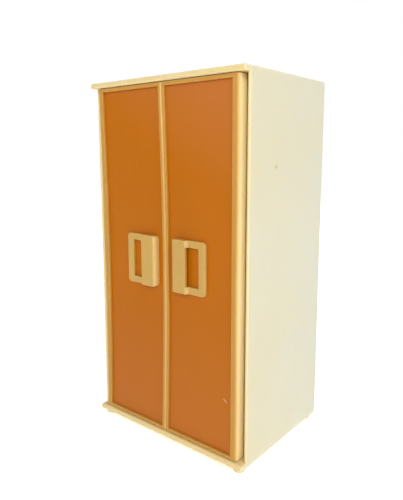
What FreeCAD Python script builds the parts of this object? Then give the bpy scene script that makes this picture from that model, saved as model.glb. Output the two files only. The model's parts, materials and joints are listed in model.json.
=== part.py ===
import FreeCAD, Part
import math
import os
import Sketcher

# Miniature wardrobe for dolls: a one-piece moulded cabinet shell on four push-in feet,
# two hinged doors with coloured panels and finger-pull handles, and a fitted inside.
# Frame: millimetres, +Z up, +X to the right seen from the front, the doors face -Y,
# origin on the floor under the middle of the cabinet.

SIZES = {
    # cabinet shell
    "body_width": 149.2,
    "body_depth": 110.9,
    "body_height": 276.0,
    "side_thickness": 2.4,
    "top_lip": 4.0,
    "base_thickness": 4.3,
    "top_skin": 2.4,
    "lip_band": 14.0,
    "nose_setback": 6.3,
    "outer_round": 1.0,
    "lip_round": 1.2,
    "base_lip_round": 1.9,
    "base_under_round": 1.6,
    "corner_round": 1.5,
    "lip_corner_round": 0.8,
    "base_rim": 2.2,
    "core_depth": 1.8,
    "core_rib": 1.6,
    "core_rib_spacing": 40.0,
    "foot_boss_radius": 5.2,
    # door stops, guides and ledges inside the shell
    "stop_play": 0.3,
    "stop_height": 2.2,
    "stop_thickness": 1.8,
    "stop_span": 108.0,
    "jamb_play": 3.1,
    "jamb_reach": 6.0,
    "jamb_thickness": 1.8,
    "guide_width": 1.2,
    "guide_height": 1.6,
    "guide_setback": 14.0,
    "ledge_width": 1.4,
    "ledge_height": 1.6,
    "ledge_setback": 3.0,
    # back panel
    "back_thickness": 1.6,
    "back_seat": 1.8,
    "back_rebate": 0.6,
    "back_recess": 0.4,
    "back_margin": 6.0,
    "fit_gap": 0.1,
    # feet
    "foot_height": 4.0,
    "foot_radius": 4.7,
    "foot_taper": 0.35,
    "foot_round": 0.7,
    "foot_inset_side": 6.65,
    "foot_inset_front": 7.05,
    "foot_spigot_radius": 2.0,
    "foot_spigot_length": 1.4,
    "peg_fit": 0.05,
    # doors
    "door_setback": 1.9,
    "door_thickness": 9.1,
    "door_overhang": 5.9,
    "door_half_gap": 0.35,
    "door_end_gap": 0.35,
    "hinge_stile": 5.2,
    "hinge_post": 4.2,
    "free_stile": 2.6,
    "top_rail": 2.8,
    "bottom_rail": 2.5,
    "frame_wall": 1.4,
    "panel_setback": 2.0,
    "panel_thickness": 1.4,
    "lug_reach": 0.8,
    "lug_length": 9.0,
    "lug_depth": 0.8,
    "hinge_round": 2.4,
    "free_round": 0.9,
    "rail_round": 0.7,
    "window_round": 0.4,
    "hinge_inset": 2.6,
    "hinge_pin_radius": 1.4,
    "hinge_pin_length": 1.8,
    "hinge_play": 0.05,
    "hinge_socket_depth": 2.1,
    # handles
    "handle_width": 31.6,
    "handle_height": 39.5,
    "handle_low": 1.7,
    "handle_bar_width": 14.4,
    "handle_bar_rise": 3.85,
    "handle_ramp": 1.6,
    "handle_leg": 5.9,
    "handle_end_leg": 5.0,
    "handle_shell": 2.0,
    "handle_side_wall": 2.6,
    "handle_corner": 3.0,
    "handle_bar_round": 3.4,
    "handle_edge_gap": 8.3,
    "handle_centre_height": 139.1,
    "handle_peg_radius": 1.2,
    "handle_peg_proud": 0.7,
    # partition, shelves and rail
    "partition_thickness": 2.0,
    "partition_setback": 15.3,
    "shelf_thickness": 1.8,
    "shelf_front_setback": 17.0,
    "shelf_band": 4.0,
    "shelf_band_thickness": 1.6,
    "shelf_edge_round": 0.5,
    "hat_shelf_height": 236.0,
    "rail_radius": 1.6,
    "rail_drop": 15.0,
    "rail_back": 5.0,
    "rail_seat": 1.6,
    "rail_boss_radius": 3.4,
    "rail_boss_length": 2.4,
    # hangers
    "hook_wire": 0.9,
    "hook_path": 2.8,
    "neck_foot": 11.0,
    "hanger_thickness": 2.4,
    "hanger_reach": 38.0,
    "hanger_top": 9.5,
    "hanger_tip": 24.0,
    "hanger_bottom": 28.0,
    "hanger_crown": 4.0,
    "hanger_arm": 3.0,
    "hanger_bar": 2.6,
    "hanger_spacing": 15.0,
    "hanger_tip_round": 1.6,
    "hanger_edge_round": 0.5,
}

START, END, CENTRE = 1, 2, 3
TOLERANCE = 1e-4
ORIGIN_POINT = (-1, 1)
SHELF_COUNT = 3
LUG_EIGHTHS = (1, 3, 5, 7)
LEFT, RIGHT = -1, 1

# Positions that several pieces share, as expressions on the sheet.
HALF_WIDTH = "(sizes.body_width / 2)"
WALL = "(sizes.body_width / 2 - sizes.side_thickness)"
FRONT = "(-sizes.body_depth / 2)"
REAR = "(sizes.body_depth / 2)"
NOSE = f"({FRONT} + sizes.nose_setback)"
BACK_FACE = f"({REAR} - sizes.back_seat)"
CEILING = "(sizes.body_height - sizes.top_skin)"
LIP_UNDER = "(sizes.body_height - sizes.top_lip)"
DOOR_FRONT = f"({FRONT} + sizes.door_setback)"
DOOR_BACK = f"({DOOR_FRONT} + sizes.door_thickness)"
STOP_FRONT = f"({DOOR_BACK} + sizes.stop_play)"
JAMB_FRONT = f"({DOOR_BACK} + sizes.jamb_play)"
PARTITION_FRONT = f"({FRONT} + sizes.partition_setback)"
SHELF_FRONT = f"({FRONT} + sizes.shelf_front_setback)"
DOOR_WIDTH = f"({HALF_WIDTH} - sizes.door_overhang - sizes.door_half_gap)"
DOOR_HEIGHT = f"({LIP_UNDER} - sizes.base_thickness - 2 * sizes.door_end_gap)"
HINGE_X = f"({HALF_WIDTH} - sizes.door_overhang - sizes.hinge_inset)"
HINGE_Y = f"({DOOR_FRONT} + sizes.door_thickness / 2)"
HALF_PARTITION = "(sizes.partition_thickness / 2)"
BAY_WIDTH = f"({WALL} - {HALF_PARTITION})"
RAIL_Z = "(sizes.hat_shelf_height - sizes.rail_drop)"

doc = FreeCAD.newDocument("miniature_wardrobe")
sheet = doc.addObject("Spreadsheet::Sheet", "sizes")
pieces = []


def fill_sheet():
    """Write every driving dimension to the sheet, with its name as the cell's alias."""
    for row, (name, size) in enumerate(SIZES.items(), start=1):
        sheet.set(f"A{row}", name)
        sheet.set(f"B{row}", str(size))
        sheet.setAlias(f"B{row}", name)
    doc.recompute()


def value(expression):
    """The number that an expression on the sheet gives."""
    return float(sheet.evalExpression(str(expression)))


def new_body(label, x="0", y="0", z="0"):
    """A body with its own label, whose place is bound to three expressions."""
    body = doc.addObject("PartDesign::Body", label)
    body.Label = label
    for axis, expression in zip("xyz", (x, y, z)):
        body.setExpression(f"Placement.Base.{axis}", expression)
    pieces.append(body)
    return body


# ---- sketches -------------------------------------------------------------------------

PLANES = {"Z": ("XY_Plane", 1), "Y": ("XZ_Plane", -1), "X": ("YZ_Plane", 1)}


def new_sketch(body, name, across, at="0"):
    """A sketch on the plane square to axis `across`, at that coordinate in the body's frame."""
    role, normal = PLANES[across]
    sketch = body.newObject("Sketcher::SketchObject", f"{body.Label}_{name}")
    plane = next(item for item in body.Origin.OriginFeatures if item.Role == role)
    sketch.AttachmentSupport = [(plane, "")]
    sketch.MapMode = "FlatFace"
    sketch.setExpression("AttachmentOffset.Base.z", f"{normal} * ({at})")
    return sketch


def bind(sketch, kind, geometry, point, expression):
    """Bind one coordinate of a point, measured from the sketch's origin, to an expression."""
    place = Sketcher.Constraint(kind, *ORIGIN_POINT, geometry, point, value(expression))
    index = sketch.addConstraint(place)
    sketch.setExpression(f"Constraints[{index}]", str(expression))


def polygon(sketch, points):
    """A closed outline whose corners are bound to pairs of expressions."""
    corners = [FreeCAD.Vector(value(x), value(y), 0) for x, y in points]
    ends = corners[1:] + corners[:1]
    lines = [sketch.addGeometry(Part.LineSegment(a, b), False) for a, b in zip(corners, ends)]
    for line, following in zip(lines, lines[1:] + lines[:1]):
        sketch.addConstraint(Sketcher.Constraint("Coincident", line, END, following, START))
    for line, (x, y) in zip(lines, points):
        bind(sketch, "DistanceX", line, START, x)
        bind(sketch, "DistanceY", line, START, y)


def rectangle(sketch, x_low, x_high, y_low, y_high):
    """A closed rectangle between four expressions."""
    polygon(sketch, [(x_low, y_low), (x_high, y_low), (x_high, y_high), (x_low, y_high)])


def rounded_rectangle(sketch, half_x, half_y, radius):
    """A rectangle about the sketch's origin with round corners, bound to expressions."""
    x, y, r = value(half_x), value(half_y), value(radius)
    flat_x, flat_y = f"({half_x} - {radius})", f"({half_y} - {radius})"
    sides = [
        ((f"-{flat_x}", f"-{half_y}"), (flat_x, f"-{half_y}")),
        ((half_x, f"-{flat_y}"), (half_x, flat_y)),
        ((flat_x, half_y), (f"-{flat_x}", half_y)),
        ((f"-{half_x}", flat_y), (f"-{half_x}", f"-{flat_y}")),
    ]
    centres = [(x - r, r - y), (x - r, y - r), (r - x, y - r), (r - x, r - y)]
    lines = []
    for start, end in sides:
        ends = [FreeCAD.Vector(value(a), value(b), 0) for a, b in (start, end)]
        lines.append(sketch.addGeometry(Part.LineSegment(*ends), False))
    for corner, (centre_x, centre_y) in enumerate(centres):
        ring = Part.Circle(FreeCAD.Vector(centre_x, centre_y, 0), FreeCAD.Vector(0, 0, 1), r)
        turn = math.pi / 2 * (corner - 1)
        arc = sketch.addGeometry(Part.ArcOfCircle(ring, turn, turn + math.pi / 2), False)
        following = lines[(corner + 1) % 4]
        sketch.addConstraint(Sketcher.Constraint("Coincident", lines[corner], END, arc, START))
        sketch.addConstraint(Sketcher.Constraint("Coincident", arc, END, following, START))
        size = sketch.addConstraint(Sketcher.Constraint("Radius", arc, r))
        sketch.setExpression(f"Constraints[{size}]", radius)
    for line, (start, end) in zip(lines, sides):
        for point, (a, b) in ((START, start), (END, end)):
            bind(sketch, "DistanceX", line, point, a)
            bind(sketch, "DistanceY", line, point, b)


def quarter_waste(sketch, x, y, radius):
    """What a quarter-round takes off the corner (x, y) of a profile: +X side, -Y face."""
    r = value(radius)
    corner = FreeCAD.Vector(value(x), value(y), 0)
    on_side = corner + FreeCAD.Vector(0, r, 0)
    on_face = corner - FreeCAD.Vector(r, 0, 0)
    ring = Part.Circle(corner + FreeCAD.Vector(-r, r, 0), FreeCAD.Vector(0, 0, 1), r)
    arc = sketch.addGeometry(Part.ArcOfCircle(ring, -math.pi / 2, 0), False)
    side = sketch.addGeometry(Part.LineSegment(on_side, corner), False)
    face = sketch.addGeometry(Part.LineSegment(corner, on_face), False)
    sketch.addConstraint(Sketcher.Constraint("Coincident", arc, END, side, START))
    sketch.addConstraint(Sketcher.Constraint("Coincident", side, END, face, START))
    sketch.addConstraint(Sketcher.Constraint("Coincident", face, END, arc, START))
    bind(sketch, "DistanceX", side, START, x)
    bind(sketch, "DistanceY", side, START, f"({y} + {radius})")
    bind(sketch, "DistanceX", side, END, x)
    bind(sketch, "DistanceY", side, END, y)
    bind(sketch, "DistanceX", face, END, f"({x} - {radius})")
    bind(sketch, "DistanceY", face, END, y)
    size = sketch.addConstraint(Sketcher.Constraint("Radius", arc, r))
    sketch.setExpression(f"Constraints[{size}]", radius)


def circle(sketch, x, y, radius):
    """A circle whose centre and radius are bound to expressions."""
    centre = FreeCAD.Vector(value(x), value(y), 0)
    ring = Part.Circle(centre, FreeCAD.Vector(0, 0, 1), value(radius))
    index = sketch.addGeometry(ring, False)
    bind(sketch, "DistanceX", index, CENTRE, x)
    bind(sketch, "DistanceY", index, CENTRE, y)
    size = sketch.addConstraint(Sketcher.Constraint("Radius", index, value(radius)))
    sketch.setExpression(f"Constraints[{size}]", str(radius))


# ---- features -------------------------------------------------------------------------


def volume(body):
    """The body's volume so far, 0 before its first feature."""
    return body.Shape.Volume if body.Tip and not body.Shape.isNull() else 0.0


def extrude(body, kind, sketch, length, towards):
    """Pad or pocket a sketch along its axis, towards +1 or -1, and see that it took effect."""
    before = volume(body)
    plane = sketch.AttachmentSupport[0][0].Role
    normal = next(sign for role, sign in PLANES.values() if role == plane)
    feature = body.newObject(f"PartDesign::{kind}", f"{sketch.Name}_{kind.lower()}")
    feature.Profile = sketch
    feature.setExpression("Length", str(length))
    feature.Reversed = (towards != normal) if kind == "Pad" else (towards == normal)
    doc.recompute()
    change = volume(body) - before
    if change * (1 if kind == "Pad" else -1) <= 0:
        raise RuntimeError(f"{feature.Name} changed the volume by {change:.3f}")
    return feature


def pad(body, sketch, length, towards):
    """Add the sketch's outline, grown towards +1 or -1."""
    return extrude(body, "Pad", sketch, length, towards)


def pocket(body, sketch, length, towards):
    """Cut the sketch's outline away towards +1 or -1."""
    return extrude(body, "Pocket", sketch, length, towards)


def edges_where(body, test):
    """Names of the body's edges for which test(low corner, high corner) holds."""
    names = []
    for index, edge in enumerate(body.Shape.Edges, start=1):
        box = edge.BoundBox
        low = (box.XMin, box.YMin, box.ZMin)
        high = (box.XMax, box.YMax, box.ZMax)
        if test(low, high):
            names.append(f"Edge{index}")
    return names


def lies(at, axis, size=TOLERANCE):
    """A test for edges that lie wholly at one coordinate of an axis."""
    return lambda low, high: abs(low[axis] - at) < size and abs(high[axis] - at) < size


def both(*tests):
    """A test that holds where all the given tests hold."""
    return lambda low, high: all(test(low, high) for test in tests)


def longer(axis, length):
    """A test for edges that reach further than a length along an axis."""
    return lambda low, high: high[axis] - low[axis] > length


def round_edges(body, name, test, radius):
    """Fillet the edges that pass a test."""
    names = edges_where(body, test)
    if not names:
        raise RuntimeError(f"{name}: no edge found")
    base = body.Tip
    feature = body.newObject("PartDesign::Fillet", f"{body.Label}_{name}")
    feature.Base = (base, names)
    feature.setExpression("Radius", radius)
    doc.recompute()
    if "Invalid" in feature.State or feature.Shape.isNull():
        raise RuntimeError(f"{feature.Name} failed on {names}")
    return feature


# ---- cabinet --------------------------------------------------------------------------


def shelf_height(number):
    """Height of the underside of shelf 1, 2 or 3 above the base's underside."""
    rise = "(sizes.hat_shelf_height - sizes.base_thickness)"
    return f"(sizes.base_thickness + {rise} * {number} / {SHELF_COUNT})"


def build_shell():
    """One-piece sleeve: sides, top and base, with lips that run out over the doors."""
    body = new_body("cabinet_shell", z="sizes.foot_height")

    base = new_sketch(body, "base_plate", "Z")
    rectangle(base, f"-{HALF_WIDTH}", HALF_WIDTH, FRONT, REAR)
    pad(body, base, "sizes.base_thickness", 1)
    front, rear = value(FRONT), value(REAR)
    base_low = value("sizes.foot_height")
    base_top = value("sizes.foot_height + sizes.base_thickness")
    round_edges(body, "base_corners", both(lies(front, 1), longer(2, 1)),
                "sizes.lip_corner_round")
    round_edges(body, "base_lip_top", both(lies(base_top, 2), lies(front, 1)),
                "sizes.base_lip_round")

    nose_middle = f"({NOSE} + sizes.side_thickness / 2)"
    sleeve = new_sketch(body, "sleeve", "Y", nose_middle)
    rectangle(sleeve, f"-{HALF_WIDTH}", HALF_WIDTH, "0", "sizes.body_height")
    rectangle(sleeve, f"-{WALL}", WALL, "sizes.base_thickness", CEILING)
    pad(body, sleeve, f"{REAR} - {nose_middle}", 1)

    lip = new_sketch(body, "top_lip", "Z", LIP_UNDER)
    rectangle(lip, f"-{HALF_WIDTH}", HALF_WIDTH, FRONT, f"{FRONT} + sizes.lip_band")
    pad(body, lip, "sizes.top_lip", 1)
    half_width = value(HALF_WIDTH)
    top_high = value("sizes.foot_height + sizes.body_height")
    lip_under = value(f"sizes.foot_height + {LIP_UNDER}")
    half_height = value("sizes.body_height / 2")
    upright = longer(2, half_height)

    def outer_side(low, high):
        return abs(abs(low[0]) - half_width) < TOLERANCE and abs(high[0] - low[0]) < TOLERANCE

    def lip_upright(low, high):
        return outer_side(low, high) and high[2] - low[2] > 1

    round_edges(body, "rear_corners", both(lies(rear, 1), upright, outer_side),
                "sizes.corner_round")
    round_edges(body, "lip_corners", both(lies(front, 1), lip_upright),
                "sizes.lip_corner_round")
    round_edges(body, "top_rim", lies(top_high, 2), "sizes.outer_round")
    round_edges(body, "top_lip_under", both(lies(lip_under, 2), lies(front, 1)),
                "sizes.lip_round")
    noses = new_sketch(body, "round_noses", "Z", "sizes.base_thickness / 2")
    for side in ("-", ""):
        circle(noses, f"{side}({HALF_WIDTH} - sizes.side_thickness / 2)", nose_middle,
               "sizes.side_thickness / 2")
    pad(body, noses, f"{LIP_UNDER} - sizes.base_thickness / 2 + sizes.top_lip / 2", 1)

    stops = new_sketch(body, "door_stops", "Y", STOP_FRONT)
    half_stop = "(sizes.stop_span / 2)"
    rectangle(stops, f"-{half_stop}", half_stop, "sizes.base_thickness",
              "sizes.base_thickness + sizes.stop_height")
    rectangle(stops, f"-{half_stop}", half_stop, f"{LIP_UNDER} - sizes.stop_height", LIP_UNDER)
    pad(body, stops, "sizes.stop_thickness", 1)

    jambs = new_sketch(body, "jambs", "Y", JAMB_FRONT)
    for side in (LEFT, RIGHT):
        near, far = sorted((f"{side} * ({WALL} - sizes.jamb_reach)", f"{side} * {WALL}"), key=value)
        rectangle(jambs, near, far, "sizes.base_thickness", CEILING)
    pad(body, jambs, "sizes.jamb_thickness", 1)

    guides = new_sketch(body, "partition_guides", "Y", f"{STOP_FRONT} + sizes.guide_setback")
    inner = f"({HALF_PARTITION} + sizes.fit_gap)"
    outer = f"({inner} + sizes.guide_width)"
    for side in ("", "-"):
        near, far = sorted((f"{side}{inner}", f"{side}{outer}"), key=value)
        rectangle(guides, near, far, "sizes.base_thickness",
                  "sizes.base_thickness + sizes.guide_height")
        rectangle(guides, near, far, f"{CEILING} - sizes.guide_height", CEILING)
    pad(body, guides, f"{BACK_FACE} - {STOP_FRONT} - 2 * sizes.guide_setback", 1)

    ledges = new_sketch(body, "shelf_ledges", "Y", f"{SHELF_FRONT} + sizes.ledge_setback")
    for number in range(1, SHELF_COUNT + 1):
        top = shelf_height(number)
        rectangle(ledges, f"-{WALL}", f"-{WALL} + sizes.ledge_width",
                  f"{top} - sizes.ledge_height", top)
    rectangle(ledges, f"{WALL} - sizes.ledge_width", WALL,
              f"{shelf_height(SHELF_COUNT)} - sizes.ledge_height", shelf_height(SHELF_COUNT))
    pad(body, ledges, f"{BACK_FACE} - {SHELF_FRONT} - 2 * sizes.ledge_setback", 1)

    boss = new_sketch(body, "rail_boss", "X", WALL)
    circle(boss, "sizes.rail_back", RAIL_Z, "sizes.rail_boss_radius")
    pad(body, boss, "sizes.rail_boss_length", -1)
    seat = new_sketch(body, "rail_seat", "X", f"{WALL} - sizes.rail_boss_length")
    circle(seat, "sizes.rail_back", RAIL_Z, "sizes.rail_radius + sizes.peg_fit")
    pocket(body, seat, "sizes.rail_seat", 1)

    rebate = new_sketch(body, "back_rebate", "Y", REAR)
    rectangle(rebate, f"-{WALL} - sizes.back_rebate", f"{WALL} + sizes.back_rebate",
              "sizes.base_thickness - sizes.back_rebate", f"{CEILING} + sizes.back_rebate")
    pocket(body, rebate, "sizes.back_seat", -1)

    core = new_sketch(body, "base_core", "Z")
    rectangle(core, f"-{HALF_WIDTH} + sizes.base_rim", f"{HALF_WIDTH} - sizes.base_rim",
              f"{FRONT} + sizes.base_rim", f"{REAR} - sizes.base_rim")
    pocket(body, core, "sizes.core_depth", 1)
    ribs = new_sketch(body, "base_ribs", "Z")
    for place in (-1, 0, 1):
        middle = f"({place} * sizes.core_rib_spacing)"
        rectangle(ribs, f"{middle} - sizes.core_rib / 2", f"{middle} + sizes.core_rib / 2",
                  f"{FRONT} + sizes.base_rim", f"{REAR} - sizes.base_rim")
    pad(body, ribs, "sizes.core_depth", 1)
    foot_bosses = new_sketch(body, "foot_bosses", "Z")
    foot_holes = new_sketch(body, "foot_holes", "Z")
    for x, y in foot_places():
        circle(foot_bosses, x, y, "sizes.foot_boss_radius")
        circle(foot_holes, x, y, "sizes.foot_spigot_radius + sizes.peg_fit")
    pad(body, foot_bosses, "sizes.core_depth", 1)
    pocket(body, foot_holes, "sizes.foot_spigot_length + sizes.fit_gap", 1)

    for name, height, towards in (
        ("lower_sockets", "sizes.base_thickness", -1),
        ("upper_sockets", LIP_UNDER, 1),
    ):
        sockets = new_sketch(body, name, "Z", height)
        for side in ("-", ""):
            circle(sockets, f"{side}{HINGE_X}", HINGE_Y,
                   "sizes.hinge_pin_radius + sizes.hinge_play")
        pocket(body, sockets, "sizes.hinge_socket_depth", towards)

    round_edges(body, "base_lip_under", both(lies(base_low, 2), lies(front, 1)),
                "sizes.base_under_round")
    return body


def foot_places():
    """The four feet's places in plan: front left, front right, rear left, rear right."""
    x = f"({HALF_WIDTH} - sizes.foot_inset_side)"
    y = f"({REAR} - sizes.foot_inset_front)"
    return [(f"{side_x}{x}", f"{side_y}{y}") for side_y in ("-", "") for side_x in ("-", "")]


def build_foot(label, x, y):
    """Tapered round foot with a spigot that presses into the base."""
    body = new_body(label, x, y)
    half = new_sketch(body, "profile", "Y")
    tread = "sizes.foot_radius - sizes.foot_taper"
    polygon(half, [
        ("0", "0"),
        (f"{tread} - sizes.foot_round", "0"),
        (tread, "sizes.foot_round"),
        ("sizes.foot_radius", "sizes.foot_height"),
        ("sizes.foot_spigot_radius", "sizes.foot_height"),
        ("sizes.foot_spigot_radius", "sizes.foot_height + sizes.foot_spigot_length"),
        ("0", "sizes.foot_height + sizes.foot_spigot_length"),
    ])
    turned = body.newObject("PartDesign::Revolution", f"{label}_turned")
    turned.Profile = half
    turned.ReferenceAxis = (half, ["V_Axis"])
    turned.Angle = 360
    doc.recompute()
    return body


def build_back_panel():
    """Sheet that drops into the rebate round the back, with two shallow recesses behind."""
    body = new_body("back_panel", y=BACK_FACE, z="sizes.foot_height")
    half = f"({WALL} + sizes.back_rebate - sizes.fit_gap)"
    low = "(sizes.base_thickness - sizes.back_rebate + sizes.fit_gap)"
    high = f"({CEILING} + sizes.back_rebate - sizes.fit_gap)"
    sheet_outline = new_sketch(body, "outline", "Y")
    rectangle(sheet_outline, f"-{half}", half, low, high)
    pad(body, sheet_outline, "sizes.back_thickness", 1)
    recess = new_sketch(body, "recess", "Y", "sizes.back_thickness")
    for side in (LEFT, RIGHT):
        near, far = sorted((f"{side} * sizes.back_margin",
                            f"{side} * ({half} - sizes.back_margin)"), key=value)
        rectangle(recess, near, far, f"{low} + sizes.back_margin", f"{high} - sizes.back_margin")
    pocket(body, recess, "sizes.back_recess", -1)
    return body


# ---- inside ---------------------------------------------------------------------------


def build_partition():
    """Upright sheet that splits the inside into two bays, held by guides above and below."""
    body = new_body("partition", z="sizes.foot_height")
    outline = new_sketch(body, "outline", "X", f"-{HALF_PARTITION}")
    rectangle(outline, PARTITION_FRONT, BACK_FACE, "sizes.base_thickness", CEILING)
    pad(body, outline, "sizes.partition_thickness", 1)

    ledges = new_sketch(body, "shelf_ledges", "Y", f"{SHELF_FRONT} + sizes.ledge_setback")
    reach = f"({HALF_PARTITION} + sizes.ledge_width)"
    for number in range(1, SHELF_COUNT + 1):
        top = shelf_height(number)
        rectangle(ledges, f"-{reach}", f"-{HALF_PARTITION}", f"{top} - sizes.ledge_height", top)
    hat_shelf = shelf_height(SHELF_COUNT)
    rectangle(ledges, HALF_PARTITION, reach, f"{hat_shelf} - sizes.ledge_height", hat_shelf)
    pad(body, ledges, f"{BACK_FACE} - {SHELF_FRONT} - 2 * sizes.ledge_setback", 1)

    boss = new_sketch(body, "rail_boss", "X", HALF_PARTITION)
    circle(boss, "sizes.rail_back", RAIL_Z, "sizes.rail_boss_radius")
    pad(body, boss, "sizes.rail_boss_length", 1)
    seat = new_sketch(body, "rail_seat", "X", f"{HALF_PARTITION} + sizes.rail_boss_length")
    circle(seat, "sizes.rail_back", RAIL_Z, "sizes.rail_radius + sizes.peg_fit")
    pocket(body, seat, "sizes.rail_seat", -1)
    return body


def build_shelf(label, side, number):
    """Moulded shelf for one bay, with a band down its front edge."""
    middle = f"({side} * ({HALF_PARTITION} + {BAY_WIDTH} / 2))"
    body = new_body(label, middle, SHELF_FRONT, f"sizes.foot_height + {shelf_height(number)}")
    half = f"({BAY_WIDTH} / 2 - sizes.fit_gap)"
    board = new_sketch(body, "board", "Z")
    rectangle(board, f"-{half}", half, "0", f"{BACK_FACE} - {SHELF_FRONT} - sizes.fit_gap")
    pad(body, board, "sizes.shelf_thickness", 1)
    band = new_sketch(body, "band", "Z")
    rectangle(band, f"-{half}", half, "0", "sizes.shelf_band_thickness")
    pad(body, band, "sizes.shelf_band - sizes.shelf_thickness", -1)
    front = value(SHELF_FRONT)
    round_edges(body, "front_edges", both(lies(front, 1), longer(0, 10)),
                "sizes.shelf_edge_round")
    return body


def build_rail():
    """Round hanging rail between the partition and the right side."""
    rail = doc.addObject("Part::Cylinder", "hanging_rail")
    rail.Label = "hanging_rail"
    seat = "(sizes.rail_boss_length - sizes.rail_seat + sizes.fit_gap)"
    rail.setExpression("Radius", "sizes.rail_radius")
    rail.setExpression("Height", f"{BAY_WIDTH} - 2 * {seat}")
    rail.Placement.Rotation = FreeCAD.Rotation(FreeCAD.Vector(0, 1, 0), 90)
    rail.setExpression("Placement.Base.x", f"{HALF_PARTITION} + {seat}")
    rail.setExpression("Placement.Base.y", "sizes.rail_back")
    rail.setExpression("Placement.Base.z", f"sizes.foot_height + {RAIL_Z}")
    pieces.append(rail)


def build_hanger(label, place):
    """Hanger with a hook round the rail; its frame's origin is on the rail's axis."""
    middle = f"{HALF_PARTITION} + {BAY_WIDTH} / 2 + {place} * sizes.hanger_spacing"
    body = new_body(label, middle, "sizes.rail_back", f"sizes.foot_height + {RAIL_Z}")

    arms = new_sketch(body, "arms", "X", "-sizes.hanger_thickness / 2")
    crown = "sizes.hanger_crown"
    reach = "sizes.hanger_reach"
    fall = "((sizes.hanger_tip - sizes.hanger_top) / (sizes.hanger_reach - sizes.hanger_crown))"
    inner_crown = f"({crown} / 2)"
    inner_top = f"(sizes.hanger_top - {crown} / 2 * {fall} + sizes.hanger_arm)"
    inner_low = "(sizes.hanger_bottom - sizes.hanger_bar)"
    inner_reach = f"({inner_crown} + ({inner_low} - {inner_top}) / {fall})"
    polygon(arms, [
        (f"-{crown}", "-sizes.hanger_top"),
        (f"-{reach}", "-sizes.hanger_tip"),
        (f"-{reach}", "-sizes.hanger_bottom"),
        (reach, "-sizes.hanger_bottom"),
        (reach, "-sizes.hanger_tip"),
        (crown, "-sizes.hanger_top"),
    ])
    polygon(arms, [
        (f"-{inner_crown}", f"-{inner_top}"),
        (f"-{inner_reach}", f"-{inner_low}"),
        (inner_reach, f"-{inner_low}"),
        (inner_crown, f"-{inner_top}"),
    ])
    pad(body, arms, "sizes.hanger_thickness", 1)
    half = value("sizes.hanger_thickness / 2")
    middle_x = value(middle)
    reach_y = value(reach)
    rail_y = value("sizes.rail_back")

    def tip(low, high):
        across = high[0] - low[0] > half
        return across and abs(abs(low[1] - rail_y) - reach_y) < TOLERANCE

    round_edges(body, "tips", tip, "sizes.hanger_tip_round")

    def outline(low, high):
        on_face = abs(abs(low[0] - middle_x) - half) < TOLERANCE
        return on_face and abs(high[0] - low[0]) < TOLERANCE

    round_edges(body, "soft_edges", outline, "sizes.hanger_edge_round")

    path = new_sketch(body, "hook_path", "X")
    ring = value("sizes.hook_path")
    bend_z = -(3 ** 0.5) * ring
    neck = Part.LineSegment(
        FreeCAD.Vector(0, -value("sizes.neck_foot"), 0), FreeCAD.Vector(0, bend_z, 0))
    path.addGeometry(neck, False)
    normal = FreeCAD.Vector(0, 0, 1)
    bend_circle = Part.Circle(FreeCAD.Vector(ring, bend_z, 0), normal, ring)
    hook_circle = Part.Circle(FreeCAD.Vector(0, 0, 0), normal, ring)
    path.addGeometry(Part.ArcOfCircle(bend_circle, math.radians(120), math.pi), False)
    path.addGeometry(Part.ArcOfCircle(hook_circle, math.radians(-60), math.pi), False)
    section = new_sketch(body, "hook_section", "Z", "-sizes.neck_foot")
    circle(section, "0", "0", "sizes.hook_wire")
    hook = body.newObject("PartDesign::AdditivePipe", f"{label}_hook")
    hook.Profile = section
    hook.Spine = (path, ["Edge1", "Edge2", "Edge3"])
    doc.recompute()
    return body


# ---- doors ----------------------------------------------------------------------------


def across_door(side, from_edge):
    """Place across a door, measured from its outer edge, seen from its hinge axis."""
    return f"({-side} * ({from_edge} - sizes.hinge_inset))"


def door_rectangle(sketch, side, outer, inner, low, high):
    """A rectangle on a door between two distances from its outer edge and two heights."""
    near, far = sorted((across_door(side, outer), across_door(side, inner)), key=value)
    rectangle(sketch, near, far, low, high)


def door_origin(side):
    """Hinge axis at the door's bottom edge, as three expressions."""
    height = "sizes.foot_height + sizes.base_thickness + sizes.door_end_gap"
    return f"({side} * {HINGE_X})", HINGE_Y, height


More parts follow.
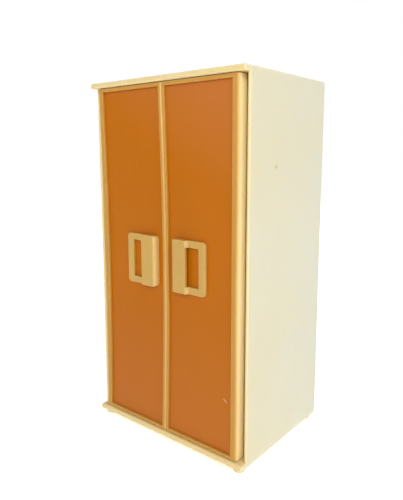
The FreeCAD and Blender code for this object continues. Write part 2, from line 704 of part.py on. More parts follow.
def build_door_frame(label, side):
    """Deep rim round a door: the front shows a narrow frame, the back is an open tray."""
    body = new_body(label, *door_origin(side))
    half_depth = "(sizes.door_thickness / 2)"
    rim = new_sketch(body, "rim", "Y", f"-{half_depth}")
    door_rectangle(rim, side, "0", DOOR_WIDTH, "0", DOOR_HEIGHT)
    door_rectangle(rim, side, "sizes.hinge_stile", f"({DOOR_WIDTH} - sizes.free_stile)",
                   "sizes.bottom_rail", f"{DOOR_HEIGHT} - sizes.top_rail")
    pad(body, rim, "sizes.door_thickness", 1)
    tray = new_sketch(body, "tray", "Y", half_depth)
    free_wall = f"({DOOR_WIDTH} - sizes.frame_wall)"
    door_rectangle(tray, side, "sizes.hinge_post", free_wall,
                   "sizes.frame_wall", f"{DOOR_HEIGHT} - sizes.frame_wall")
    pocket(body, tray, "sizes.door_thickness - sizes.panel_setback", -1)

    lugs = new_sketch(body, "panel_lugs", "Y", f"-{half_depth} + sizes.panel_setback"
                      " + sizes.panel_thickness + sizes.fit_gap")
    for eighth in LUG_EIGHTHS:
        low = f"({DOOR_HEIGHT} * {eighth} / 8 - sizes.lug_length / 2)"
        high = f"({low} + sizes.lug_length)"
        door_rectangle(lugs, side, "sizes.hinge_post",
                       "(sizes.hinge_post + sizes.lug_reach)", low, high)
        door_rectangle(lugs, side, f"({free_wall} - sizes.lug_reach)", free_wall, low, high)
    pad(body, lugs, "sizes.lug_depth", 1)

    origin_x, origin_y, origin_z = (value(item) for item in door_origin(side))
    front = origin_y - value(half_depth)
    outer_x = origin_x + value(across_door(side, "0"))
    free_x = origin_x + value(across_door(side, DOOR_WIDTH))
    low_z = origin_z
    high_z = origin_z + value(DOOR_HEIGHT)
    at_front = lies(front, 1)
    round_edges(body, "hinge_edge", both(at_front, lies(outer_x, 0)), "sizes.hinge_round")
    round_edges(body, "free_edge", both(at_front, lies(free_x, 0)), "sizes.free_round")

    front_zone = front + value("sizes.hinge_round + sizes.frame_wall / 2")

    def end_edge(low, high):
        at_end = lies(low_z, 2)(low, high) or lies(high_z, 2)(low, high)
        return at_end and high[1] < front_zone

    round_edges(body, "end_edges", end_edge, "sizes.rail_round")

    window_x = sorted((origin_x + value(across_door(side, "sizes.hinge_stile")),
                       origin_x + value(across_door(side, f"({DOOR_WIDTH} - sizes.free_stile)"))))
    window_low = origin_z + value("sizes.bottom_rail")
    window_high = origin_z + value(f"{DOOR_HEIGHT} - sizes.top_rail")

    def window_edge(low, high):
        inside_x = low[0] > window_x[0] - TOLERANCE and high[0] < window_x[1] + TOLERANCE
        inside_z = low[2] > window_low - TOLERANCE and high[2] < window_high + TOLERANCE
        return inside_x and inside_z and at_front(low, high)

    round_edges(body, "window_edges", window_edge, "sizes.window_round")

    for name, height, towards in (("lower_pin", "0", -1), ("upper_pin", DOOR_HEIGHT, 1)):
        pin = new_sketch(body, name, "Z", height)
        circle(pin, "0", "0", "sizes.hinge_pin_radius")
        pad(body, pin, "sizes.hinge_pin_length + sizes.door_end_gap", towards)
    return body


def handle_pegs():
    """Places of a handle's three pegs, from its middle: one on the leg, two under the bar."""
    bar = "(sizes.handle_width / 2 - sizes.handle_bar_width / 2)"
    leg = "(-sizes.handle_width / 2 + sizes.handle_leg / 2)"
    end = "(sizes.handle_height / 2 - sizes.handle_end_leg / 2)"
    return [(leg, "0"), (bar, end), (bar, f"-{end}")]


def handle_origin(side):
    """Middle of a handle on the door panel's face, as three expressions."""
    x = f"({side} * (sizes.handle_edge_gap + sizes.handle_width / 2))"
    y = f"({DOOR_FRONT} + sizes.panel_setback)"
    return x, y, "(sizes.foot_height + sizes.handle_centre_height)"


def build_door_panel(label, side):
    """Coloured sheet behind the frame's window, with holes for the handle's pegs."""
    body = new_body(label, *door_origin(side))
    face = "(-sizes.door_thickness / 2 + sizes.panel_setback)"
    outline = new_sketch(body, "outline", "Y", face)
    gap = "sizes.fit_gap"
    door_rectangle(outline, side, f"(sizes.hinge_post + {gap})",
                   f"({DOOR_WIDTH} - sizes.frame_wall - {gap})",
                   f"sizes.frame_wall + {gap}", f"{DOOR_HEIGHT} - sizes.frame_wall - {gap}")
    pad(body, outline, "sizes.panel_thickness", 1)
    holes = new_sketch(body, "peg_holes", "Y", face)
    handle_x, _, handle_z = handle_origin(side)
    door_x, _, door_z = door_origin(side)
    for x, z in handle_pegs():
        circle(holes, f"{handle_x} - {door_x} + {-side} * {x}", f"{handle_z} - ({door_z}) + {z}",
               "sizes.handle_peg_radius + sizes.peg_fit")
    pocket(body, holes, "sizes.panel_thickness", 1)
    return body


def build_handle(label, side):
    """Finger pull: a low frame round a window, and a raised bar hollow under its window side.

    Both doors take the same moulding; the right one is turned half a turn about Y.
    """
    body = new_body(label, *handle_origin(side))
    if side == RIGHT:
        body.Placement.Rotation = FreeCAD.Rotation(FreeCAD.Vector(0, 1, 0), 180)
    half_width = "(sizes.handle_width / 2)"
    half_height = "(sizes.handle_height / 2)"
    window_low = f"(-{half_width} + sizes.handle_leg)"
    window_high = f"({half_width} - sizes.handle_bar_width)"
    window_half = f"({half_height} - sizes.handle_end_leg)"

    block = new_sketch(body, "block", "Y")
    rounded_rectangle(block, half_width, half_height, "sizes.handle_corner")
    pad(body, block, "sizes.handle_bar_rise", -1)
    step = new_sketch(body, "low_frame", "Z", f"-{half_height}")
    ramp_foot = f"({window_high} - sizes.handle_ramp)"
    above = "(-sizes.handle_bar_rise - 1)"
    polygon(step, [
        (f"(-{half_width} - 1)", "-sizes.handle_low"),
        (f"(-{half_width} - 1)", above),
        (window_high, above),
        (window_high, "-sizes.handle_bar_rise"),
        (ramp_foot, "-sizes.handle_low"),
    ])
    pocket(body, step, "sizes.handle_height", 1)
    side_round = new_sketch(body, "bar_side", "Z", f"-{half_height}")
    quarter_waste(side_round, half_width, "(-sizes.handle_bar_rise)", "sizes.handle_bar_round")
    pocket(body, side_round, "sizes.handle_height", 1)

    window = new_sketch(body, "window", "Y", "-sizes.handle_bar_rise")
    rectangle(window, window_low, window_high, f"-{window_half}", window_half)
    pocket(body, window, "sizes.handle_bar_rise", 1)
    hollow = new_sketch(body, "finger_hollow", "Y")
    rectangle(hollow, f"({window_high} - 1)", f"({half_width} - sizes.handle_side_wall)",
              f"-{window_half}", window_half)
    pocket(body, hollow, "sizes.handle_bar_rise - sizes.handle_shell", -1)
    pegs = new_sketch(body, "pegs", "Y")
    for peg_x, peg_z in handle_pegs():
        circle(pegs, peg_x, peg_z, "sizes.handle_peg_radius")
    pad(body, pegs, "sizes.panel_thickness + sizes.handle_peg_proud", 1)
    return body


# ---- the whole wardrobe ---------------------------------------------------------------


def build_all():
    """Make every piece of the wardrobe."""
    build_shell()
    build_back_panel()
    build_partition()
    for number in range(1, SHELF_COUNT + 1):
        build_shelf(f"left_shelf_{number}", LEFT, number)
    build_shelf("hat_shelf", RIGHT, SHELF_COUNT)
    build_rail()
    for number, place in enumerate((-1, 0, 1), start=1):
        build_hanger(f"hanger_{number}", place)
    names = ("front_left_foot", "front_right_foot", "rear_left_foot", "rear_right_foot")
    for name, (x, y) in zip(names, foot_places()):
        build_foot(name, x, y)
    for name, side in (("left", LEFT), ("right", RIGHT)):
        build_door_frame(f"{name}_door_frame", side)
        build_door_panel(f"{name}_door_panel", side)
        build_handle(f"{name}_handle", side)


def check_all():
    """Stop if any object failed, or any piece is not one valid solid."""
    doc.recompute()
    for item in doc.Objects:
        if "Invalid" in item.State or "Error" in item.State:
            raise RuntimeError(f"{item.Name} failed: {item.State}")
    for piece in pieces:
        shape = piece.Shape
        if shape.isNull() or not shape.isValid() or len(shape.Solids) != 1:
            raise RuntimeError(f"{piece.Label} is not one valid solid")


def write_all():
    """Write each piece to a STEP file named after it."""
    os.makedirs("parts", exist_ok=True)
    for piece in pieces:
        piece.Shape.exportStep(f"parts/{piece.Label}.step")
        box = piece.Shape.BoundBox
        print(f"{piece.Label}: x {box.XMin:.2f} {box.XMax:.2f} y {box.YMin:.2f} {box.YMax:.2f}"
              f" z {box.ZMin:.2f} {box.ZMax:.2f} volume {piece.Shape.Volume:.0f}")


fill_sheet()
build_all()
check_all()
write_all()
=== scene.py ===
"""The looks of a miniature wardrobe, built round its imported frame.

The cabinet is one pale moulding on four studs. Two framed doors with orange sheets and
finger pulls hang on moulded pins. Inside are a partition, shelves, a rail and hangers.
"""

from __future__ import annotations

import json
import logging
import math
from dataclasses import dataclass, field
from enum import Enum

import bmesh
import bpy
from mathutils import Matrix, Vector

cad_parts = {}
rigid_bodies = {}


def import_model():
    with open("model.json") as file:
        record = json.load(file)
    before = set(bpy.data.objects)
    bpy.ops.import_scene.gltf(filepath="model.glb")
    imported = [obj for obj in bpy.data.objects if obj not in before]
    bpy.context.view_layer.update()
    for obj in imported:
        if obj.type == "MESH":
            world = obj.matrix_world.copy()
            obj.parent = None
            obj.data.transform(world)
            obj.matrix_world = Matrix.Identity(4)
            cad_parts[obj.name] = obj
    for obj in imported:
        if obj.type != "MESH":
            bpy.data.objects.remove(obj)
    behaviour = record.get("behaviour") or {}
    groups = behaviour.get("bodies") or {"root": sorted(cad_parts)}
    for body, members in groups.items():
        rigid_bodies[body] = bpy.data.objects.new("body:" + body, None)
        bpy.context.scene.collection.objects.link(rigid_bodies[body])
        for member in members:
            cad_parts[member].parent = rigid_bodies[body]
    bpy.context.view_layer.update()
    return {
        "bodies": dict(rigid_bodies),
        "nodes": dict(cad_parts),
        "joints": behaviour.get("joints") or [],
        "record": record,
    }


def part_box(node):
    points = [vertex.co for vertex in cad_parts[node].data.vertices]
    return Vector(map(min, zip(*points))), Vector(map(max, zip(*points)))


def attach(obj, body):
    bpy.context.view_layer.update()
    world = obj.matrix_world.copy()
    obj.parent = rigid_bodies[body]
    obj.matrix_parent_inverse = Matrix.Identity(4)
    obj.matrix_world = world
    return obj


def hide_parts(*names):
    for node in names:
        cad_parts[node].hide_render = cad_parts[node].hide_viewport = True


LOG = logging.getLogger("wardrobe")
MM = 0.001
Colour = tuple[float, float, float]

# How square to an axis a face's normal is before the face counts as flat, the span of
# squareness over which it goes from rounded to flat, and the share of the darker tone
# that a level face gets: partly yellowed with age, partly painted shade.
FLAT_SQUARENESS = 0.985
ROUNDING_SPAN = 0.25
LEVEL_YELLOWED_AND_SHADED = 0.8


def srgb(red: int, green: int, blue: int) -> Colour:
    """Turn screen values into the linear light that shaders take.

    Args:
        red: Red, 0 to 255.
        green: Green, 0 to 255.
        blue: Blue, 0 to 255.

    Returns:
        The linear colour.
    """

    def linear(level: int) -> float:
        """Linear light of one channel."""
        share = level / 255
        return share / 12.92 if share <= 0.04045 else ((share + 0.055) / 1.055) ** 2.4

    return linear(red), linear(green), linear(blue)


def opaque(colour: Colour) -> tuple[float, float, float, float]:
    """Add a full alpha to a colour."""
    return (*colour, 1.0)


class Side(Enum):
    """Which door a piece belongs to; the value is the sign of its X."""

    LEFT = -1
    RIGHT = 1

    @property
    def word(self) -> str:
        """The side as node names spell it."""
        return self.name.lower()


class Slot(Enum):
    """The record's material slots."""

    CABINET = "cabinet_plastic"
    BACK = "back_board"
    FITTINGS = "fittings_plastic"
    RAIL = "rail"
    DOOR = "door_plastic"
    PANEL = "panel_plastic"
    HANDLE = "handle_plastic"
    HANGER = "hanger_plastic"


# ---- finishes -------------------------------------------------------------------------


def set_out(nodes: list[bpy.types.Node], frame: bpy.types.Node, left: float, top: float) -> None:
    """Set nodes out in a row inside their frame, so that a tree reads from left to right.

    Args:
        nodes: The nodes, in the order the signal runs.
        frame: The frame that groups them.
        left: X of the first node in the editor.
        top: Y of the row in the editor.
    """
    for column, node in enumerate(nodes):
        node.parent = frame
        node.location = (left + 200 * column, top)


@dataclass(frozen=True)
class MouldedPlastic:
    """Aged injection-moulded plastic: yellowed faces with painted shade, patches, grime, scuffs,
    pale rounds with a painted highlight, and orange peel.
    """

    # The pale first colour is partly painted light on side faces; the second, yellower and
    # darker, is partly painted shade on front faces.
    fresh: Colour
    aged: Colour
    roughness: float = 0.42
    specular: float = 0.35
    glow: float = 0.55
    # Paleness of rounded edges: partly abrasion, partly a painted highlight.
    edge_paleness: float = 0.2
    # Share of the darker tone given to front, top and hollow faces: partly yellowed with age,
    # partly painted shade.
    face_yellowing: float = 0.0
    depth_yellowing: float = 0.0
    patchy_yellowing: float = 0.15
    rear: float = 55 * MM
    front: float = -55 * MM
    speckle: float = 0.3
    scuff: float = 0.3
    peel: float = 0.12
    grime: float = 0.0
    smudge: float = 0.0
    smudge_at: tuple[float, float, float] = (74.6 * MM, -16.4 * MM, 215.6 * MM)

    def material(self, name: str) -> bpy.types.Material:
        """Build the finish.

        Args:
            name: The material's name.

        Returns:
            The material.
        """
        material = bpy.data.materials.new(name)
        material.use_nodes = True
        tree = material.node_tree
        nodes, links = tree.nodes, tree.links
        nodes.clear()

        place = nodes.new("ShaderNodeTexCoord")
        place.label = "place on the piece"
        place.location = (-2500, 0)

        axes = nodes.new("ShaderNodeSeparateXYZ")
        axes.label = "split off depth and height"
        depth = nodes.new("ShaderNodeMapRange")
        depth.label = "how near the front"
        # Facing weight: front, top and hollow faces take the darker, yellower tone as partly
        # painted shade; side faces keep the pale tone as partly painted light.
        sun_face = nodes.new("ShaderNodeAttribute")
        sun_face.label = "front, top and hollow faces: yellowed and painted shade"
        facing_yellowed_and_shaded_share = nodes.new("ShaderNodeMath")
        facing_yellowed_and_shaded_share.label = "weight of yellowed tone and painted shade"
        patches = nodes.new("ShaderNodeTexNoise")
        patches.label = "random yellowed patches"
        patch_share = nodes.new("ShaderNodeMapRange")
        patch_share.label = "patch strength"
        faces_and_depth = nodes.new("ShaderNodeMath")
        faces_and_depth.label = "faces and depth"
        yellowed_and_shaded_total = nodes.new("ShaderNodeMath")
        yellowed_and_shaded_total.label = "total of yellowed tone and painted shade"
        tint = nodes.new("ShaderNodeMix")
        tint.label = "pale lit tone to yellowed shaded tone"
        yellowed_and_shaded_nodes = [axes, depth, sun_face, facing_yellowed_and_shaded_share, patches, patch_share, faces_and_depth,
                     yellowed_and_shaded_total, tint]
        yellowed_and_shaded_frame = nodes.new("NodeFrame")
        yellowed_and_shaded_frame.label = "yellowed with age, and painted shade by facing"
        set_out(yellowed_and_shaded_nodes, yellowed_and_shaded_frame, -2300, 700)

        specks = nodes.new("ShaderNodeTexVoronoi")
        specks.label = "dust specks"
        speck_size = nodes.new("ShaderNodeMapRange")
        speck_size.label = "keep speck middles"
        speck_areas = nodes.new("ShaderNodeTexNoise")
        speck_areas.label = "where dust sticks"
        speck_mask = nodes.new("ShaderNodeMapRange")
        speck_mask.label = "only in some areas"
        speck_amount = nodes.new("ShaderNodeMath")
        speck_amount.label = "speck amount"
        dusty = nodes.new("ShaderNodeMix")
        dusty.label = "darken the specks"
        dust = [specks, speck_size, speck_areas, speck_mask, speck_amount, dusty]
        dust_frame = nodes.new("NodeFrame")
        dust_frame.label = "dust caught in the skin"
        set_out(dust, dust_frame, -2300, 350)

        lowness = nodes.new("ShaderNodeMapRange")
        lowness.label = "how near the floor"
        clouds = nodes.new("ShaderNodeTexNoise")
        clouds.label = "clouds of grime"
        cloud_cut = nodes.new("ShaderNodeMapRange")
        cloud_cut.label = "thin out the clouds"
        grime_amount = nodes.new("ShaderNodeMath")
        grime_amount.label = "grime amount"
        smudge_lie = nodes.new("ShaderNodeMapping")
        smudge_lie.label = "lie of the smudge"
        smudge_shape = nodes.new("ShaderNodeTexGradient")
        smudge_shape.label = "soft smudge"
        smudge_amount = nodes.new("ShaderNodeMath")
        smudge_amount.label = "smudge amount"
        dirt_amount = nodes.new("ShaderNodeMath")
        dirt_amount.label = "grime and smudge"
        dirty = nodes.new("ShaderNodeMix")
        dirty.label = "greyed by dirt"
        dirt = [lowness, clouds, cloud_cut, grime_amount, smudge_lie, smudge_shape,
                smudge_amount, dirt_amount, dirty]
        dirt_frame = nodes.new("NodeFrame")
        dirt_frame.label = "grime low down and one smudge"
        set_out(dirt, dirt_frame, -2300, 0)

        scuff_lie = nodes.new("ShaderNodeMapping")
        scuff_lie.label = "long thin scuffs"
        scuffs = nodes.new("ShaderNodeTexNoise")
        scuffs.label = "rub marks"
        scuff_cut = nodes.new("ShaderNodeMapRange")
        scuff_cut.label = "only the strongest"
        # Rounded edges drawn paler: partly abrasion, partly a painted highlight on the rounds.
        abrasion_and_highlight = nodes.new("ShaderNodeAttribute")
        abrasion_and_highlight.label = "rounds: abrasion and painted highlight"
        abrasion_and_highlight_share = nodes.new("ShaderNodeMath")
        abrasion_and_highlight_share.label = "paleness of abraded, highlit rounds"
        abraded_and_highlit = nodes.new("ShaderNodeMix")
        abraded_and_highlit.label = "pale rounds: abraded, with painted highlight"
        abrasion_and_highlight_nodes = [scuff_lie, scuffs, scuff_cut, abrasion_and_highlight, abrasion_and_highlight_share, abraded_and_highlit]
        abrasion_and_highlight_frame = nodes.new("NodeFrame")
        abrasion_and_highlight_frame.label = "scuffs, abraded rounds and painted highlight"
        set_out(abrasion_and_highlight_nodes, abrasion_and_highlight_frame, -2300, -350)

        handling = nodes.new("ShaderNodeTexNoise")
        handling.label = "handling marks"
        gloss_level = nodes.new("ShaderNodeMapRange")
        gloss_level.label = "gloss range"
        gloss = nodes.new("ShaderNodeMath")
        gloss.label = "scuffs are duller"
        gloss_nodes = [handling, gloss_level, gloss]
        gloss_frame = nodes.new("NodeFrame")
        gloss_frame.label = "uneven gloss"
        set_out(gloss_nodes, gloss_frame, -2300, -700)

        peel = nodes.new("ShaderNodeTexNoise")
        peel.label = "orange peel"
        waves = nodes.new("ShaderNodeTexNoise")
        waves.label = "slow waviness of the moulding"
        sunk = nodes.new("ShaderNodeBump")
        sunk.label = "shallow sink"
        skin = nodes.new("ShaderNodeBump")
        skin.label = "fine skin"
        relief = [peel, waves, sunk, skin]
        relief_frame = nodes.new("NodeFrame")
        relief_frame.label = "moulded relief"
        set_out(relief, relief_frame, -2300, -1050)

        surface = nodes.new("ShaderNodeBsdfPrincipled")
        surface.label = "plastic"
        surface.location = (-300, 200)
        output = nodes.new("ShaderNodeOutputMaterial")
        output.label = "surface"
        output.location = (0, 200)

        depth.inputs["From Min"].default_value = self.rear
        depth.inputs["From Max"].default_value = self.front
        depth.inputs["To Max"].default_value = self.depth_yellowing
        sun_face.attribute_name = "sun_face"
        facing_yellowed_and_shaded_share.operation = "MULTIPLY"
        facing_yellowed_and_shaded_share.inputs[1].default_value = self.face_yellowing
        patches.inputs["Scale"].default_value = 11.0
        patches.inputs["Detail"].default_value = 4.0
        patch_share.inputs["From Min"].default_value = 0.38
        patch_share.inputs["From Max"].default_value = 0.7
        patch_share.inputs["To Max"].default_value = self.patchy_yellowing
        faces_and_depth.operation = "ADD"
        yellowed_and_shaded_total.operation = "ADD"
        yellowed_and_shaded_total.use_clamp = True
        tint.data_type = "RGBA"
        tint.inputs["A"].default_value = opaque(self.fresh)
        tint.inputs["B"].default_value = opaque(self.aged)

        specks.inputs["Scale"].default_value = 420.0
        speck_size.inputs["From Min"].default_value = 0.16
        speck_size.inputs["From Max"].default_value = 0.06
        speck_areas.inputs["Scale"].default_value = 30.0
        speck_mask.inputs["From Min"].default_value = 0.54
        speck_mask.inputs["From Max"].default_value = 0.68
        speck_mask.inputs["To Max"].default_value = self.speckle
        speck_amount.operation = "MULTIPLY"
        dusty.data_type = "RGBA"
        dusty.blend_type = "MULTIPLY"
        dusty.inputs["B"].default_value = opaque(srgb(150, 130, 100))

        lowness.inputs["From Min"].default_value = 110 * MM
        lowness.inputs["From Max"].default_value = 4 * MM
        lowness.inputs["To Max"].default_value = self.grime
        clouds.inputs["Scale"].default_value = 26.0
        clouds.inputs["Detail"].default_value = 6.0
        clouds.inputs["Roughness"].default_value = 0.6
        cloud_cut.inputs["From Min"].default_value = 0.42
        cloud_cut.inputs["From Max"].default_value = 0.72
        grime_amount.operation = "MULTIPLY"
        smudge_lie.vector_type = "TEXTURE"
        smudge_lie.inputs["Location"].default_value = self.smudge_at
        smudge_lie.inputs["Rotation"].default_value = (0.5, 0.0, 0.0)
        smudge_lie.inputs["Scale"].default_value = (3 * MM, 3.4 * MM, 1.9 * MM)
        smudge_shape.gradient_type = "SPHERICAL"
        smudge_amount.operation = "MULTIPLY"
        smudge_amount.inputs[1].default_value = self.smudge
        dirt_amount.operation = "ADD"
        dirt_amount.use_clamp = True
        dirty.data_type = "RGBA"
        dirty.blend_type = "MULTIPLY"
        dirty.inputs["B"].default_value = opaque(srgb(190, 184, 174))

        scuff_lie.inputs["Scale"].default_value = (260.0, 260.0, 24.0)
        scuffs.inputs["Scale"].default_value = 1.0
        scuffs.inputs["Detail"].default_value = 3.0
        scuff_cut.inputs["From Min"].default_value = 0.66
        scuff_cut.inputs["From Max"].default_value = 0.76
        scuff_cut.inputs["To Max"].default_value = self.scuff
        abrasion_and_highlight.attribute_name = "edge_wear"
        abrasion_and_highlight_share.operation = "MULTIPLY"
        abrasion_and_highlight_share.inputs[1].default_value = self.edge_paleness
        abraded_and_highlit.data_type = "RGBA"
        abraded_and_highlit.inputs["B"].default_value = opaque(srgb(250, 238, 205))

        handling.inputs["Scale"].default_value = 22.0
        handling.inputs["Detail"].default_value = 5.0
        gloss_level.inputs["To Min"].default_value = self.roughness - 0.07
        gloss_level.inputs["To Max"].default_value = self.roughness + 0.09
        gloss.operation = "ADD"
        gloss.use_clamp = True

        surface.inputs["Subsurface Weight"].default_value = self.glow
        surface.inputs["Subsurface Radius"].default_value = (1.0, 0.75, 0.45)
        surface.inputs["Subsurface Scale"].default_value = 3.5 * MM
        surface.inputs["Specular IOR Level"].default_value = self.specular
        peel.inputs["Scale"].default_value = 1500.0
        waves.inputs["Scale"].default_value = 16.0
        sunk.inputs["Strength"].default_value = 0.3
        sunk.inputs["Distance"].default_value = 0.9 * MM
        skin.inputs["Strength"].default_value = self.peel
        skin.inputs["Distance"].default_value = 0.12 * MM

        links.new(place.outputs["Object"], axes.inputs["Vector"])
        links.new(axes.outputs["Y"], depth.inputs["Value"])
        links.new(sun_face.outputs["Fac"], facing_yellowed_and_shaded_share.inputs[0])
        links.new(place.outputs["Object"], patches.inputs["Vector"])
        links.new(patches.outputs["Fac"], patch_share.inputs["Value"])
        links.new(depth.outputs["Result"], faces_and_depth.inputs[0])
        links.new(facing_yellowed_and_shaded_share.outputs["Value"], faces_and_depth.inputs[1])
        links.new(faces_and_depth.outputs["Value"], yellowed_and_shaded_total.inputs[0])
        links.new(patch_share.outputs["Result"], yellowed_and_shaded_total.inputs[1])
        links.new(yellowed_and_shaded_total.outputs["Value"], tint.inputs["Factor"])

        links.new(place.outputs["Object"], specks.inputs["Vector"])
        links.new(specks.outputs["Distance"], speck_size.inputs["Value"])
        links.new(place.outputs["Object"], speck_areas.inputs["Vector"])
        links.new(speck_areas.outputs["Fac"], speck_mask.inputs["Value"])
        links.new(speck_size.outputs["Result"], speck_amount.inputs[0])
        links.new(speck_mask.outputs["Result"], speck_amount.inputs[1])
        links.new(speck_amount.outputs["Value"], dusty.inputs["Factor"])
        links.new(tint.outputs["Result"], dusty.inputs["A"])

        links.new(axes.outputs["Z"], lowness.inputs["Value"])
        links.new(place.outputs["Object"], clouds.inputs["Vector"])
        links.new(clouds.outputs["Fac"], cloud_cut.inputs["Value"])
        links.new(lowness.outputs["Result"], grime_amount.inputs[0])
        links.new(cloud_cut.outputs["Result"], grime_amount.inputs[1])
        links.new(place.outputs["Object"], smudge_lie.inputs["Vector"])
        links.new(smudge_lie.outputs["Vector"], smudge_shape.inputs["Vector"])
        links.new(smudge_shape.outputs["Fac"], smudge_amount.inputs[0])
        links.new(grime_amount.outputs["Value"], dirt_amount.inputs[0])
        links.new(smudge_amount.outputs["Value"], dirt_amount.inputs[1])
        links.new(dirt_amount.outputs["Value"], dirty.inputs["Factor"])
        links.new(dusty.outputs["Result"], dirty.inputs["A"])

        links.new(place.outputs["Object"], scuff_lie.inputs["Vector"])
        links.new(scuff_lie.outputs["Vector"], scuffs.inputs["Vector"])
        links.new(scuffs.outputs["Fac"], scuff_cut.inputs["Value"])
        links.new(abrasion_and_highlight.outputs["Fac"], abrasion_and_highlight_share.inputs[0])
        links.new(abrasion_and_highlight_share.outputs["Value"], abraded_and_highlit.inputs["Factor"])
        links.new(dirty.outputs["Result"], abraded_and_highlit.inputs["A"])

        links.new(place.outputs["Object"], handling.inputs["Vector"])
        links.new(handling.outputs["Fac"], gloss_level.inputs["Value"])
        links.new(gloss_level.outputs["Result"], gloss.inputs[0])
        links.new(scuff_cut.outputs["Result"], gloss.inputs[1])

        links.new(place.outputs["Object"], peel.inputs["Vector"])
        links.new(place.outputs["Object"], waves.inputs["Vector"])
        links.new(waves.outputs["Fac"], sunk.inputs["Height"])
        links.new(peel.outputs["Fac"], skin.inputs["Height"])
        links.new(sunk.outputs["Normal"], skin.inputs["Normal"])

        links.new(abraded_and_highlit.outputs["Result"], surface.inputs["Base Color"])
        links.new(gloss.outputs["Value"], surface.inputs["Roughness"])
        links.new(skin.outputs["Normal"], surface.inputs["Normal"])
        links.new(surface.outputs["BSDF"], output.inputs["Surface"])
        return material


@dataclass(frozen=True)
class ColouredSheet:
    """Coloured sheet plastic: streaks, cloudy colour, painted sheen at the ends, scratches and
    one nick.
    """

    colour: Colour
    cloud: Colour
    # Pinker tint of the painted sheen towards the top right and the foot.
    chalky: Colour
    roughness: float = 0.38
    specular: float = 0.13
    nick_at: tuple[float, float, float] = (0.0, 0.0, 0.0)
    nick_turn: float = 0.0
    nick_strength: float = 0.0

    def material(self, name: str) -> bpy.types.Material:
        """Build the finish.

        Args:
            name: The material's name.

        Returns:
            The material.
        """
        material = bpy.data.materials.new(name)
        material.use_nodes = True
        tree = material.node_tree
        nodes, links = tree.nodes, tree.links
        nodes.clear()

        place = nodes.new("ShaderNodeTexCoord")
        place.label = "place on the sheet"
        place.location = (-1700, 0)

        clouds = nodes.new("ShaderNodeTexNoise")
        clouds.label = "cloudy pigment"
        cloud_share = nodes.new("ShaderNodeMapRange")
        cloud_share.label = "cloud share"
        streak_lie = nodes.new("ShaderNodeMapping")
        streak_lie.label = "drawn upright"
        streaks = nodes.new("ShaderNodeTexNoise")
        streaks.label = "drawing streaks"
        streak_share = nodes.new("ShaderNodeMapRange")
        streak_share.label = "streak share"
        share = nodes.new("ShaderNodeMath")
        share.label = "clouds and streaks"
        tint = nodes.new("ShaderNodeMix")
        tint.label = "deep to cloudy orange"
        pigment = [clouds, cloud_share, streak_lie, streaks, streak_share, share, tint]
        pigment_frame = nodes.new("NodeFrame")
        pigment_frame.label = "uneven pigment"
        set_out(pigment, pigment_frame, -1500, 500)

        # Painted sheen: the sheet is drawn pinker towards its top right and its foot, where light
        # is reflected.
        slant = nodes.new("ShaderNodeVectorMath")
        slant.label = "towards the top right"
        top_share = nodes.new("ShaderNodeMapRange")
        top_share.label = "painted sheen, top right"
        axes = nodes.new("ShaderNodeSeparateXYZ")
        axes.label = "height on the sheet"
        foot_share = nodes.new("ShaderNodeMapRange")
        foot_share.label = "painted sheen, foot"
        sheen_share = nodes.new("ShaderNodeMath")
        sheen_share.label = "corner and foot"
        sheened = nodes.new("ShaderNodeMix")
        sheened.label = "pinker under the painted sheen"
        sheen_nodes = [slant, top_share, axes, foot_share, sheen_share, sheened]
        sheen_frame = nodes.new("NodeFrame")
        sheen_frame.label = "painted sheen at the ends"
        set_out(sheen_nodes, sheen_frame, -1500, 850)

        nick_lie = nodes.new("ShaderNodeMapping")
        nick_lie.label = "lie of the nick"
        nick_shape = nodes.new("ShaderNodeTexGradient")
        nick_shape.label = "slim spindle"
        nick_cut = nodes.new("ShaderNodeMapRange")
        nick_cut.label = "crisp rim"
        nick_break = nodes.new("ShaderNodeTexNoise")
        nick_break.label = "broken up"
        nick_amount = nodes.new("ShaderNodeMath")
        nick_amount.label = "nick amount"
        nicked = nodes.new("ShaderNodeMix")
        nicked.label = "pale bare nick"
        nick = [nick_lie, nick_shape, nick_cut, nick_break, nick_amount, nicked]
        nick_frame = nodes.new("NodeFrame")
        nick_frame.label = "nick in the face"
        set_out(nick, nick_frame, -1500, 100)

        scratch_lie = nodes.new("ShaderNodeMapping")
        scratch_lie.label = "slanting scratches"
        scratches = nodes.new("ShaderNodeTexNoise")
        scratches.label = "hair scratches"
        scratch_cut = nodes.new("ShaderNodeMapRange")
        scratch_cut.label = "only the strongest"
        scratched = nodes.new("ShaderNodeMix")
        scratched.label = "pale scratches"
        hairlines = [scratch_lie, scratches, scratch_cut, scratched]
        hairlines_frame = nodes.new("NodeFrame")
        hairlines_frame.label = "hair scratches"
        set_out(hairlines, hairlines_frame, -1500, -300)

        smears = nodes.new("ShaderNodeTexNoise")
        smears.label = "finger smears"
        gloss_level = nodes.new("ShaderNodeMapRange")
        gloss_level.label = "gloss range"
        gloss = nodes.new("ShaderNodeMath")
        gloss.label = "scratches are duller"
        gloss_nodes = [smears, gloss_level, gloss]
        gloss_frame = nodes.new("NodeFrame")
        gloss_frame.label = "uneven gloss"
        set_out(gloss_nodes, gloss_frame, -1500, -700)

        grain = nodes.new("ShaderNodeTexNoise")
        grain.label = "fine skin"
        waves = nodes.new("ShaderNodeTexNoise")
        waves.label = "sheet waviness"
        wavy = nodes.new("ShaderNodeBump")
        wavy.label = "slow waves"
        skin = nodes.new("ShaderNodeBump")
        skin.label = "skin relief"
        relief = [grain, waves, wavy, skin]
        relief_frame = nodes.new("NodeFrame")
        relief_frame.label = "relief"
        set_out(relief, relief_frame, -1500, -1050)

        surface = nodes.new("ShaderNodeBsdfPrincipled")
        surface.label = "sheet plastic"
        surface.location = (0, 200)
        output = nodes.new("ShaderNodeOutputMaterial")
        output.label = "surface"
        output.location = (300, 200)

